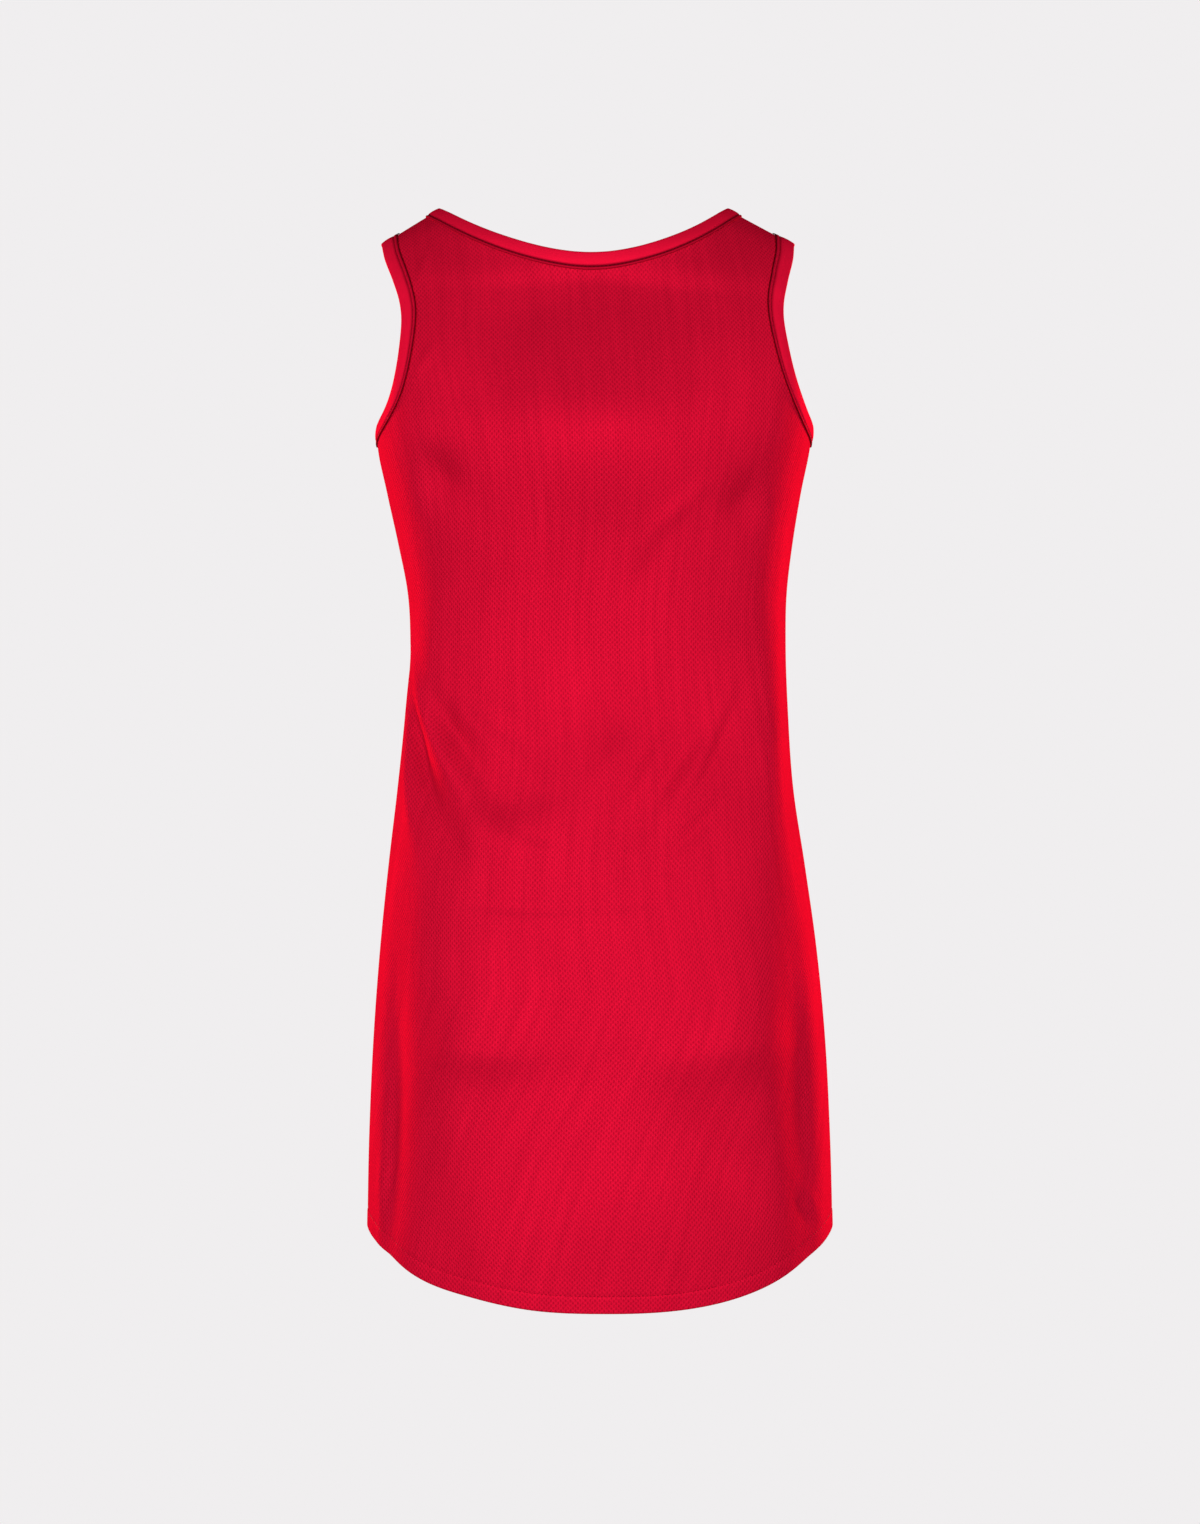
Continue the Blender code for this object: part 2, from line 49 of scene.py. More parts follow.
PICTURE_HEIGHT = 1524         # pixels
DRESS_PIXELS = 1103           # high shoulder point to back hem, in the picture
DRESS_HEIGHT = 0.86           # the same height on the dress, in the picture's plane
METRES_PER_PIXEL = DRESS_HEIGHT / DRESS_PIXELS
SENSOR_WIDTH = 36             # millimetres, across the picture's longer side
CAMERA_DISTANCE = 3.0
VIEW_CENTRE = Vector((-0.0094, 0, -0.43))
FILL_STRENGTH = 0.03          # of white light from all round
SURROUND_COLOUR = (0.871, 0.855, 0.863, 1)
SURROUND_RADIUS = 8.0
FLOOR_COLOUR = (0.80, 0.79, 0.79, 1)
FLOOR_ROUGHNESS = 0.9
FLOOR_DROP = 1.30
FLOOR_RADIUS = 1.0

SoftLight = namedtuple("SoftLight", "name place width height watts")
SOFT_LIGHTS = (
    SoftLight("frontal_light", (0.0, 3.0, -0.15), 0.8, 0.8, 38.5),
    SoftLight("left_key_light", (1.92, 2.30, -0.20), 0.7, 0.9, 25),
    SoftLight("right_key_light", (-1.92, 2.30, -0.20), 0.7, 0.9, 14),
    SoftLight("left_side_light", (2.75, 0.50, 0.65), 0.7, 1.2, 18),
    SoftLight("right_side_light", (-2.45, 1.40, 0.75), 0.7, 1.2, 22),
    SoftLight("left_rim_light", (2.25, -1.98, -0.43), 0.6, 1.6, 52),
    SoftLight("right_rim_light", (-2.25, -1.98, -0.43), 0.6, 1.6, 61),
)

camera = bpy.data.cameras.new("camera")
camera.sensor_width = SENSOR_WIDTH
camera.lens = SENSOR_WIDTH * CAMERA_DISTANCE / (PICTURE_HEIGHT * METRES_PER_PIXEL)
camera_object = bpy.data.objects.new("camera", camera)
camera_object.location = VIEW_CENTRE + Vector((0, CAMERA_DISTANCE, 0))
camera_object.rotation_euler = (math.pi / 2, 0, math.pi)
bpy.context.scene.collection.objects.link(camera_object)
bpy.context.scene.camera = camera_object
bpy.context.scene.view_settings.view_transform = "Standard"

for light in SOFT_LIGHTS:
    lamp = bpy.data.lights.new(light.name, "AREA")
    lamp.shape = "RECTANGLE"
    lamp.size = light.width
    lamp.size_y = light.height
    lamp.energy = light.watts
    lamp_object = bpy.data.objects.new(light.name, lamp)
    lamp_object.location = light.place
    to_dress = VIEW_CENTRE - Vector(light.place)
    lamp_object.rotation_euler = to_dress.to_track_quat("-Z", "Y").to_euler()
    bpy.context.scene.collection.objects.link(lamp_object)

world = bpy.data.worlds.new("studio")
world.use_nodes = True
fill = world.node_tree.nodes["Background"].inputs
fill["Color"].default_value = (1, 1, 1, 1)
fill["Strength"].default_value = FILL_STRENGTH
bpy.context.scene.world = world


def new_material(name):
    """A new material and its shader's sockets."""
    material = bpy.data.materials.new(name)
    material.use_nodes = True
    return material, material.node_tree.nodes["Principled BSDF"].inputs


bpy.ops.mesh.primitive_uv_sphere_add(segments=48, ring_count=24, radius=SURROUND_RADIUS)
surround = bpy.context.object
surround.name = "surround"
surround_paint, surround_shader = new_material("even pale surround")
surround_shader["Base Color"].default_value = (0, 0, 0, 1)
surround_shader["Specular IOR Level"].default_value = 0
surround_shader["Emission Color"].default_value = SURROUND_COLOUR
surround_shader["Emission Strength"].default_value = 1
surround.data.materials.append(surround_paint)
for ray in ("diffuse", "glossy", "transmission", "volume_scatter", "shadow"):
    setattr(surround, "visible_" + ray, False)

bpy.ops.mesh.primitive_circle_add(vertices=96, radius=FLOOR_RADIUS, fill_type="NGON")
floor = bpy.context.object
floor.name = "floor"
floor.location = (0, 0, -FLOOR_DROP)
floor_paint, floor_shader = new_material("plain pale floor")
floor_shader["Base Color"].default_value = FLOOR_COLOUR
floor_shader["Roughness"].default_value = FLOOR_ROUGHNESS
floor.data.materials.append(floor_paint)


# --- Back and front panels ----------------------------------------------------------------
# Two flat-cut panels of red birdseye mesh, a light polyester knit with a staggered lattice of
# small eyelets, overlocked at the shoulders and sides. They hang over a general figure, drag a
# little at the waist and flute towards the curved hem, which is turned up and stitched.

# A pattern point is (across, down): across runs round the body from the panel's centre line,
# positive towards the wearer's left, and down runs down the cloth from the shoulder seam.
WALL = 0.0012                 # mesh knit
GAP = 0.0003                  # between pieces at a seam
HEM_TURNING = 0.0125          # depth of the turned-up hem
HEM_EXTRA = 0.0010            # how much thicker the turned-up cloth makes the wall

SHOULDER_POINT = 0.1130       # centre line to the neck end of the shoulder seam
SHOULDER_SLOPE = 0.585        # fall of the shoulder seam for each metre outwards
SHOULDER_TIP = 0.160          # centre line to the armhole end of the shoulder seam
NAPE = 0.03                   # how far the slope is eased at the centre line
NECK_SWAY = 0.0045            # how far the neck has slid to the wearer's left
YOKE = 0.180                  # the height over which the cloth turns over the shoulder
SHOULDER_ROUND = 0.25         # 0 is a full elliptical shoulder, more is a slacker one
NECK_CURVE = 2.05             # exponent of the scooped neck, 2 is a parabola
QUARTER_GIRTH = 0.235         # centre line to side seam, on the flat pattern
SQUARENESS = 0.03             # how much squarer than an ellipse the dress is from above
SIDE_HEM_DROP = 0.7888
HEM_CURVE = 2.6               # how late the hem turns up towards the side seams
HEM_RIDE_UP = 0.0026          # how far the hem rides up where a flute lifts it
HEM_RIDE_TURN = 28            # degrees from the centre line
HEM_RIDE_SPREAD = 12

BACK = 1
FRONT = -1
HEM_DROP = {BACK: 0.8410, FRONT: 0.8300}
NECK_DROP = {BACK: 0.0440, FRONT: 0.1050}
DEPTH_COLUMN = {BACK: "behind", FRONT: "before"}
QUARTER_TURN = math.pi / 2
YOKE_LENGTH = YOKE * QUARTER_TURN

# The dress at heights below its shoulder points: half its width, how far it sways to the
# wearer's left, and how far it stands behind and before the side seams.
Level = namedtuple("Level", "drop half_width sway behind before")
LEVELS = (
    Level(0.000, 0.1750, 0.0000, 0.104, 0.100),
    Level(0.060, 0.1742, -0.0035, 0.104, 0.101),
    Level(0.120, 0.1720, -0.0055, 0.105, 0.106),
    Level(0.150, 0.1692, -0.0062, 0.105, 0.110),
    Level(0.183, 0.1686, -0.0047, 0.106, 0.114),
    Level(0.220, 0.1613, -0.0047, 0.104, 0.118),
    Level(0.260, 0.1536, -0.0058, 0.099, 0.117),
    Level(0.300, 0.1475, -0.0073, 0.093, 0.109),
    Level(0.340, 0.1463, -0.0078, 0.089, 0.102),
    Level(0.390, 0.1490, -0.0068, 0.091, 0.100),
    Level(0.450, 0.1541, -0.0058, 0.102, 0.103),
    Level(0.510, 0.1621, -0.0068, 0.115, 0.108),
    Level(0.570, 0.1694, -0.0080, 0.123, 0.112),
    Level(0.640, 0.1755, -0.0088, 0.126, 0.116),
    Level(0.720, 0.1794, -0.0091, 0.127, 0.119),
    Level(0.800, 0.1812, -0.0094, 0.128, 0.122),
)

# Armhole edge of each panel, from the underarm to the shoulder tip: turn is degrees round from
# the panel's centre line, down is metres of cloth below the shoulder seam.
Edge = namedtuple("Edge", "turn down")
ARMHOLE = {
    BACK: (
        Edge(90.0, 0.2720),
        Edge(80.5, 0.2685),
        Edge(71.5, 0.2600),
        Edge(64.0, 0.2455),
        Edge(58.8, 0.2280),
        Edge(55.6, 0.2070),
        Edge(53.6, 0.1800),
        Edge(54.0, 0.1550),
        Edge(56.6, 0.1250),
        Edge(60.0, 0.0900),
        Edge(61.6, 0.0600),
        Edge(63.0, 0.0000),
    ),
    FRONT: (
        Edge(90.0, 0.2720),
        Edge(80.0, 0.2690),
        Edge(70.5, 0.2605),
        Edge(62.0, 0.2465),
        Edge(55.5, 0.2290),
        Edge(51.5, 0.2070),
        Edge(49.5, 0.1800),
        Edge(49.8, 0.1550),
        Edge(52.8, 0.1250),
        Edge(57.3, 0.0900),
        Edge(60.5, 0.0600),
        Edge(63.0, 0.0000),
    ),
}

# A fold runs from start to end and is drawn towards its middle, as degrees round from the centre
# back (positive towards the wearer's left, 180 is the centre front) and metres below the shoulder
# points. rise is how far a crest stands out, or a trough sinks in. left and right are its widths
# on each hand of someone who walks from start to end with the cloth seen from outside.
Fold = namedtuple("Fold", "start middle end rise left right")
FOLDS = (
    # ridge and hollow under the neck, and the roll over the shoulder blades
    Fold((38, 0.016), (0, 0.132), (-38, 0.016), 0.0042, 0.0200, 0.0120),
    Fold((38, 0.068), (4, 0.114), (-44, 0.068), -0.0066, 0.0130, 0.0400),
    Fold((24, 0.098), (13, 0.104), (2, 0.100), -0.0014, 0.0120, 0.0200),
    Fold((42, 0.168), (2, 0.194), (-42, 0.168), 0.0140, 0.0430, 0.0600),
    # pulls at the left armhole
    Fold((40, 0.026), (44, 0.048), (48, 0.066), 0.0012, 0.0040, 0.0050),
    Fold((40, 0.108), (45, 0.122), (50, 0.136), 0.0014, 0.0040, 0.0050),
    # drag lines from the underarms
    Fold((51, 0.194), (43, 0.211), (33, 0.232), -0.0062, 0.0170, 0.0250),
    Fold((-51, 0.213), (-43, 0.231), (-34, 0.252), -0.0050, 0.0250, 0.0180),
    Fold((-28, 0.220), (-20, 0.240), (-12, 0.268), 0.0018, 0.0060, 0.0070),
    Fold((-17, 0.260), (-13, 0.282), (-10, 0.308), -0.0012, 0.0060, 0.0060),
    # crests down the sides of the waist
    Fold((58, 0.300), (57, 0.360), (55, 0.420), 0.0036, 0.0260, 0.0300),
    Fold((-62, 0.300), (-60, 0.410), (-58, 0.530), 0.0052, 0.0260, 0.0320),
    # left waist, where the cloth falls steeply into the small of the back
    Fold((84, 0.352), (62, 0.419), (39, 0.492), -0.0084, 0.0130, 0.0105),
    Fold((76, 0.342), (50, 0.411), (25, 0.484), 0.0056, 0.0110, 0.0120),
    Fold((54, 0.380), (40, 0.413), (25, 0.458), -0.0036, 0.0080, 0.0100),
    Fold((48, 0.370), (32, 0.406), (15, 0.444), 0.0028, 0.0100, 0.0080),
    Fold((33, 0.376), (25, 0.396), (16, 0.411), 0.0018, 0.0080, 0.0060),
    Fold((78, 0.395), (66, 0.450), (55, 0.502), 0.0036, 0.0090, 0.0110),
    Fold((36, 0.455), (33, 0.482), (31, 0.508), 0.0018, 0.0120, 0.0090),
    # swag across the small of the back
    Fold((42, 0.440), (16, 0.520), (-2, 0.436), 0.0058, 0.0190, 0.0360),
    Fold((38, 0.430), (22, 0.486), (8, 0.478), -0.0030, 0.0160, 0.0140),
    # ridges and creases falling from the right waist
    Fold((-11, 0.398), (-3, 0.428), (1, 0.468), 0.0020, 0.0090, 0.0090),
    Fold((-17, 0.398), (-9, 0.440), (-2, 0.482), -0.0017, 0.0060, 0.0060),
    Fold((-22, 0.394), (-15, 0.428), (-8, 0.476), 0.0022, 0.0070, 0.0070),
    Fold((-30, 0.396), (-20, 0.440), (-10, 0.478), -0.0017, 0.0060, 0.0060),
    Fold((-38, 0.388), (-28, 0.432), (-11, 0.502), 0.0038, 0.0080, 0.0080),
    Fold((-46, 0.370), (-36, 0.410), (-25, 0.456), -0.0026, 0.0090, 0.0090),
    Fold((-39, 0.430), (-27, 0.462), (-15, 0.498), 0.0018, 0.0080, 0.0080),
    Fold((-33, 0.462), (-25, 0.482), (-17, 0.504), -0.0018, 0.0060, 0.0060),
    # short creases below the swag
    Fold((20, 0.484), (13, 0.490), (6, 0.493), -0.0009, 0.0040, 0.0035),
    Fold((21, 0.499), (18, 0.504), (15, 0.507), -0.0007, 0.0040, 0.0040),
    Fold((-5, 0.503), (-8, 0.508), (-11, 0.512), -0.0006, 0.0040, 0.0040),
    Fold((-14, 0.508), (-17, 0.512), (-20, 0.513), -0.0008, 0.0040, 0.0040),
    # crease above the seat, and the soft ledges under it
    Fold((40, 0.530), (24, 0.546), (-4, 0.538), -0.0015, 0.0110, 0.0038),
    Fold((4, 0.539), (-8, 0.540), (-20, 0.531), -0.0008, 0.0090, 0.0038),
    Fold((46, 0.640), (26, 0.653), (8, 0.640), 0.0072, 0.0450, 0.0190),
    Fold((-8, 0.650), (-28, 0.648), (-58, 0.632), 0.0096, 0.0450, 0.0230),
    # flutes, troughs and small creases that open towards the hem
    Fold((62, 0.540), (60, 0.690), (61, 0.840), -0.0084, 0.0250, 0.0180),
    Fold((33, 0.500), (32, 0.660), (30, 0.820), 0.0056, 0.0600, 0.0260),
    Fold((25, 0.720), (24, 0.790), (23, 0.880), 0.0040, 0.0450, 0.0200),
    Fold((66, 0.680), (67, 0.760), (64, 0.820), 0.0030, 0.0080, 0.0080),
    Fold((-8, 0.640), (-11, 0.760), (-12, 0.880), 0.0110, 0.0480, 0.0500),
    Fold((-6, 0.668), (-25, 0.728), (-48, 0.782), -0.0086, 0.0280, 0.0300),
    Fold((-56, 0.540), (-57, 0.690), (-58, 0.840), -0.0062, 0.0160, 0.0270),
    Fold((-51, 0.750), (-56, 0.769), (-62, 0.784), -0.0015, 0.0060, 0.0060),
    Fold((-57, 0.748), (-61, 0.764), (-67, 0.778), 0.0012, 0.0050, 0.0050),
    # hidden front: bust drape, waist drags and hem flutes
    Fold((128, 0.300), (146, 0.345), (172, 0.380), -0.0040, 0.0120, 0.0150),
    Fold((-130, 0.310), (-150, 0.360), (-176, 0.392), -0.0036, 0.0150, 0.0110),
    Fold((118, 0.352), (140, 0.405), (166, 0.440), 0.0036, 0.0120, 0.0120),
    Fold((-112, 0.360), (-136, 0.410), (-158, 0.455), 0.0034, 0.0130, 0.0110),
    Fold((112, 0.420), (126, 0.462), (142, 0.486), -0.0018, 0.0080, 0.0070),
    Fold((-118, 0.404), (-132, 0.440), (-150, 0.480), -0.0020, 0.0070, 0.0080),
    Fold((150, 0.545), (172, 0.556), (194, 0.548), -0.0012, 0.0060, 0.0050),
    Fold((122, 0.580), (128, 0.700), (130, 0.820), -0.0045, 0.0200, 0.0260),
    Fold((160, 0.620), (164, 0.720), (166, 0.840), 0.0032, 0.0250, 0.0300),
    Fold((-126, 0.600), (-130, 0.710), (-128, 0.820), -0.0042, 0.0240, 0.0200),
    Fold((-158, 0.640), (-154, 0.730), (-152, 0.840), 0.0030, 0.0300, 0.0240),
)
FOLD_SAMPLES = 24
FOLD_END_RISE = 0.20          # share of a fold's rise that is left at its ends
FOLD_REACH = 2.6              # in fold widths, past which a fold lifts nothing

HEM_DENT = 0.0004             # how far the hem's stitching draws the cloth in
HEM_DENT_WIDTH = 0.0009
HEM_SWELL = 0.0003            # how far the doubled cloth stands out below the stitching
SIDE_SEAM_DENT = 0.0007       # how far the side seams draw the cloth in
SHOULDER_SEAM_DENT = 0.0002
SEAM_DENT_WIDTH = 0.0014

CLOTH_SPACING = 0.0042
CLOTH_COLUMNS = round(QUARTER_GIRTH / CLOTH_SPACING)    # centre line to side seam
# Rows of points up from the hem's edge, close together at its stitching, and columns of them in
# from a side seam.
HEM_ROWS = (0.0008, 0.0022, 0.0045, 0.0075, 0.0103, 0.0116, 0.0125, 0.0134, 0.0146, 0.0165)
SEAM_COLUMNS = (0.0008, 0.0018, 0.0034)
CURVE_SAMPLES = 600           # along a curve before its points are spaced evenly
SPAN_SAMPLES = 24             # between two rows of an armhole table
PATTERN_STEP = 0.0004         # over which the cloth's slopes are measured
KNIT_ROWS = 240               # of the grid on which lengths along the knit are measured
KNIT_COLUMNS = 60
LAST_CELL = 1.001             # back from a grid's end to just inside its last cell
SAME_POINT = 1e-7
RIM_BULGE = 0.4               # how round a cut edge is, of its thickness


def level(column, drop):
    """One column of LEVELS at each drop, on a smooth curve through the table's rows."""
    drops = np.array([row.drop for row in LEVELS])
    values = np.array([getattr(row, column) for row in LEVELS])
    slopes = np.gradient(values, drops)
    here = np.clip(drop, drops[0], drops[-1])
    upper = np.clip(np.searchsorted(drops, here, side="right"), 1, len(drops) - 1)
    lower = upper - 1
    span = drops[upper] - drops[lower]
    t = (here - drops[lower]) / span
    start = (1 + 2 * t) * (1 - t) ** 2 * values[lower] + t * (1 - t) ** 2 * span * slopes[lower]
    end = t ** 2 * (3 - 2 * t) * values[upper] + t ** 2 * (t - 1) * span * slopes[upper]
    return start + end


def sideways(turn):
    """How far out to the side the section is at a turn from its centre line, 1 at the seam."""
    return (np.sin(turn) + SQUARENESS * np.sin(3 * turn)) / (1 - SQUARENESS)


def outwards(turn):
    """How far out to the back or front the section is, 1 on its centre line."""
    return (np.cos(turn) - SQUARENESS * np.cos(3 * turn)) / (1 - SQUARENESS)


def ridge(x):
    """Height of the shoulder ridge, 0 at the shoulder points."""
    return SHOULDER_SLOPE * (math.hypot(SHOULDER_POINT, NAPE) - np.hypot(x, NAPE))


def down_at_drop(drop):
    """Metres of pattern for a drop below the shoulder points."""
    bend = np.arccos(np.clip(1 - drop / YOKE, 0, 1))
    return YOKE * bend + np.maximum(drop - YOKE, 0)


def form(facing, pattern):
    """Points of the outer face before any fold, for an array of pattern points."""
    across, down = pattern[:, 0], pattern[:, 1]
    turn = across / QUARTER_GIRTH * QUARTER_TURN
    bend = np.minimum(down / YOKE, QUARTER_TURN)
    drop = YOKE * (1 - np.cos(bend)) + np.maximum(down - YOKE_LENGTH, 0)
    from_centre = level("half_width", drop) * sideways(turn)
    reach = np.sin(bend) * (1 - SHOULDER_ROUND * np.cos(bend) ** 2)
    depth = level(DEPTH_COLUMN[facing], drop) * reach * outwards(turn)
    slid = NECK_SWAY * np.cos(bend) ** 2 * (1 - (from_centre / SHOULDER_TIP) ** 4)
    x = level("sway", drop) + from_centre + slid
    y = facing * (GAP / 2 + depth)
    z = ridge(from_centre) * np.cos(bend) - drop
    return np.column_stack((x, y, z))


def slopes(facing, pattern, surface):
    """How a surface runs to the wearer's left and to the hem, over two pattern steps."""
    beside = np.array((PATTERN_STEP, 0.0))
    below = np.array((0.0, PATTERN_STEP))
    to_side = surface(facing, pattern + beside) - surface(facing, pattern - beside)
    to_hem = surface(facing, pattern + below) - surface(facing, pattern - below)
    return to_side, to_hem


def facing_out(facing, pattern, surface):
    """Unit normals of a surface function, level with the seams at the seams."""
    normals = facing * np.cross(*slopes(facing, pattern, surface))
    on_seam = np.isclose(np.abs(pattern[:, 0]), QUARTER_GIRTH) | np.isclose(pattern[:, 1], 0)
    normals[on_seam, 1] = 0
    return normals / np.linalg.norm(normals, axis=1)[:, None]


def fold_path(fold):
    """A fold's line as points (metres round from the centre back, down), end to end."""
    t = np.linspace(0, 1, FOLD_SAMPLES)[:, None]
    rows = np.array((fold.start, fold.middle, fold.end), float)
    rows[:, 0] *= QUARTER_GIRTH / 90
    rows[:, 1] = down_at_drop(rows[:, 1])
    return (1 - t) ** 2 * rows[0] + 2 * t * (1 - t) * rows[1] + t ** 2 * rows[2]


def beside_path(path, place):
    """Where places lie by a path: how far along it from 0 to 1, how far off it, on which side.

    The side is 1 on the left hand of someone who walks the path, and -1 on the right.
    """
    place = place[:, None]
    runs = np.diff(path, axis=0)
    share = ((place - path[:-1]) * runs).sum(axis=2) / (runs ** 2).sum(axis=1)
    share = np.clip(share, 0, 1)
    offsets = place - path[:-1] - share[..., None] * runs
    gaps = np.linalg.norm(offsets, axis=2)
    nearest = gaps.argmin(axis=1)
    row = np.arange(len(nearest))
    along = (nearest + share[row, nearest]) / len(runs)
    run, offset, gap = runs[nearest], offsets[row, nearest], gaps[row, nearest]
    turned = run[:, 0] * offset[:, 1] - run[:, 1] * offset[:, 0]
    side = turned / (np.linalg.norm(run, axis=1) * np.maximum(gap, SAME_POINT))
    return along, gap, side


def fold_rise(facing, pattern):
    """How far the folds lift the cloth off its form at each pattern point."""
    across, down = pattern[:, 0], pattern[:, 1]
    girth = 4 * QUARTER_GIRTH
    round_back = across
    if facing == FRONT:
        round_back = np.where(across < 0, -1, 1) * 2 * QUARTER_GIRTH - across
    rise = np.zeros(len(pattern))
    for fold in FOLDS:
        path = fold_path(fold)
        middle = path.mean(axis=0)
        path -= middle
        aside = (round_back - middle[0] + girth / 2) % girth - girth / 2
        place = np.column_stack((aside, down - middle[1]))
        reach = FOLD_REACH * max(fold.left, fold.right)
        low, high = path.min(axis=0) - reach, path.max(axis=0) + reach
        near = np.all((place > low) & (place < high), axis=1)
        if near.any():
            along, gap, side = beside_path(path, place[near])
            width = fold.left * (1 + side) / 2 + fold.right * (1 - side) / 2
            taper = FOLD_END_RISE + (1 - FOLD_END_RISE) * np.sin(math.pi * along) ** 2
            rise[near] += fold.rise * taper * np.exp(-(gap / width) ** 2)
    return rise


def hem_line(facing, across):
    """Hem edge below each across value."""
    turn = across / QUARTER_GIRTH * QUARTER_TURN
    lift = (HEM_DROP[facing] - SIDE_HEM_DROP) * np.abs(np.sin(turn)) ** HEM_CURVE
    ride_up = HEM_RIDE_UP * np.exp(-((np.degrees(turn) - HEM_RIDE_TURN) / HEM_RIDE_SPREAD) ** 2)
    return down_at_drop(HEM_DROP[facing] - lift - ride_up)


def sewn_relief(facing, pattern):
    """How far the hem's stitching and the seams draw the cloth in, and the doubled hem swells."""
    above_hem = hem_line(facing, pattern[:, 0]) - pattern[:, 1]
    to_side = QUARTER_GIRTH - np.abs(pattern[:, 0])
    to_shoulder = pattern[:, 1]
    dent = HEM_DENT * np.exp(-((above_hem - HEM_TURNING) / HEM_DENT_WIDTH) ** 2)
    doubled = np.clip((HEM_TURNING - above_hem) / HEM_DENT_WIDTH, 0, 1)
    at_side = SIDE_SEAM_DENT * np.exp(-(to_side / SEAM_DENT_WIDTH) ** 2)
    at_shoulder = SHOULDER_SEAM_DENT * np.exp(-(to_shoulder / SEAM_DENT_WIDTH) ** 2)
    return HEM_SWELL * doubled - dent - at_side - at_shoulder


def lifted(facing, pattern, lift):
    """Points of the form, lifted off it square to its surface."""
    return form(facing, pattern) + lift[:, None] * facing_out(facing, pattern, form)


def draped(facing, pattern):
    """Points of the cloth's outer face, with its folds and sewing."""
    return lifted(facing, pattern, fold_rise(facing, pattern) + sewn_relief(facing, pattern))


def run_along(points):
    """Distance along a line from its first point to each of its points."""
    steps = np.linalg.norm(np.diff(points, axis=0), axis=1)
    return np.concatenate(([0], np.cumsum(steps)))


def even_on_cloth(facing, curve, spacing):
    """The same curve with its points evenly spaced on the cloth."""
    run = run_along(form(facing, curve))
    wanted = np.linspace(0, run[-1], round(run[-1] / spacing) + 1)
    return np.column_stack([np.interp(wanted, run, curve[:, i]) for i in (0, 1)])


def mirrored(curve):
    """The curve on the panel's other half, run backwards so that lines still join up."""
    return (curve * np.array((-1, 1)))[::-1]


def neck_line(facing, spacing):
    """Neck edge from the wearer's left shoulder point to the right one."""
    turns = np.linspace(0, QUARTER_TURN, CURVE_SAMPLES)
    t = np.linspace(0, 1, CURVE_SAMPLES)
    from_centre = SHOULDER_POINT * np.cos(math.pi * t)
    fall = NECK_DROP[facing] * (1 - (np.abs(from_centre) / SHOULDER_POINT) ** NECK_CURVE)
    bend = np.arccos(np.clip((YOKE - fall) / (YOKE + ridge(from_centre)), -1, 1))
    half_width = level("half_width", YOKE * (1 - np.cos(bend)))
    turn = np.interp(np.abs(from_centre) / half_width, sideways(turns), turns)
    across = np.sign(from_centre) * turn * QUARTER_GIRTH / QUARTER_TURN
    return even_on_cloth(facing, np.column_stack((across, YOKE * bend)), spacing)


def armhole_line(facing, spacing):
    """Left armhole edge from the underarm to the shoulder tip, smooth through its table."""
    rows = np.array([(row.turn / 90 * QUARTER_GIRTH, row.down) for row in ARMHOLE[facing]])
    before_first = rows[1] * (-1, 1) + (2 * rows[0][0], 0)
    after_last = 2 * rows[-1] - rows[-2]
    rows = np.vstack((before_first, rows, after_last))
    t = np.linspace(0, 1, SPAN_SAMPLES, endpoint=False)[:, None]
    spans = []
    for before, start, end, after in zip(rows, rows[1:], rows[2:], rows[3:]):
        straight = 2 * start + (end - before) * t
        squared = (2 * before - 5 * start + 4 * end - after) * t ** 2
        cubed = (3 * start - before - 3 * end + after) * t ** 3
        spans.append((straight + squared + cubed) / 2)
    curve = np.vstack(spans + [rows[-2:-1]])
    return even_on_cloth(facing, curve, spacing)


def inside(points, outline):
    """Which points lie inside a closed outline."""
    x, y = points[:, 0][:, None], points[:, 1][:, None]
    start, end = outline, np.roll(outline, -1, axis=0)
    crosses = (start[:, 1] > y) != (end[:, 1] > y)
    rise = np.where(end[:, 1] == start[:, 1], 1, end[:, 1] - start[:, 1])
    crossing = start[:, 0] + (y - start[:, 1]) / rise * (end[:, 0] - start[:, 0])
    return (crosses & (x < crossing)).sum(axis=1) % 2 == 1


def panel_outline(facing):
    """The flat pattern piece's closed outline, and two stretches of it: hem and left side."""
    neck = neck_line(facing, CLOTH_SPACING)
    armhole = armhole_line(facing, CLOTH_SPACING)
    hem_across = np.linspace(QUARTER_GIRTH, -QUARTER_GIRTH, 2 * CLOTH_COLUMNS + 1)
    hem = np.column_stack((hem_across, hem_line(facing, hem_across)))
    side_top, side_bottom = armhole[0, 1], hem[0, 1]
    side_steps = round((side_bottom - HEM_ROWS[-1] - side_top) / CLOTH_SPACING)
    above_band = np.linspace(side_top, side_bottom - HEM_ROWS[-1], side_steps + 1)
    side_down = np.concatenate((above_band, side_bottom - np.array(HEM_ROWS[-2::-1])))
    side = np.column_stack((np.full(len(side_down), QUARTER_GIRTH), side_down))
    shoulder_steps = round((armhole[-1, 0] - neck[0, 0]) / CLOTH_SPACING)
    shoulder_across = np.linspace(armhole[-1, 0], neck[0, 0], shoulder_steps + 1)[1:-1]
    shoulder = np.column_stack((shoulder_across, np.zeros(len(shoulder_across))))
    half = np.vstack((side[:0:-1], armhole, shoulder))
    return np.vstack((neck, mirrored(half), hem[::-1], half)), hem, side


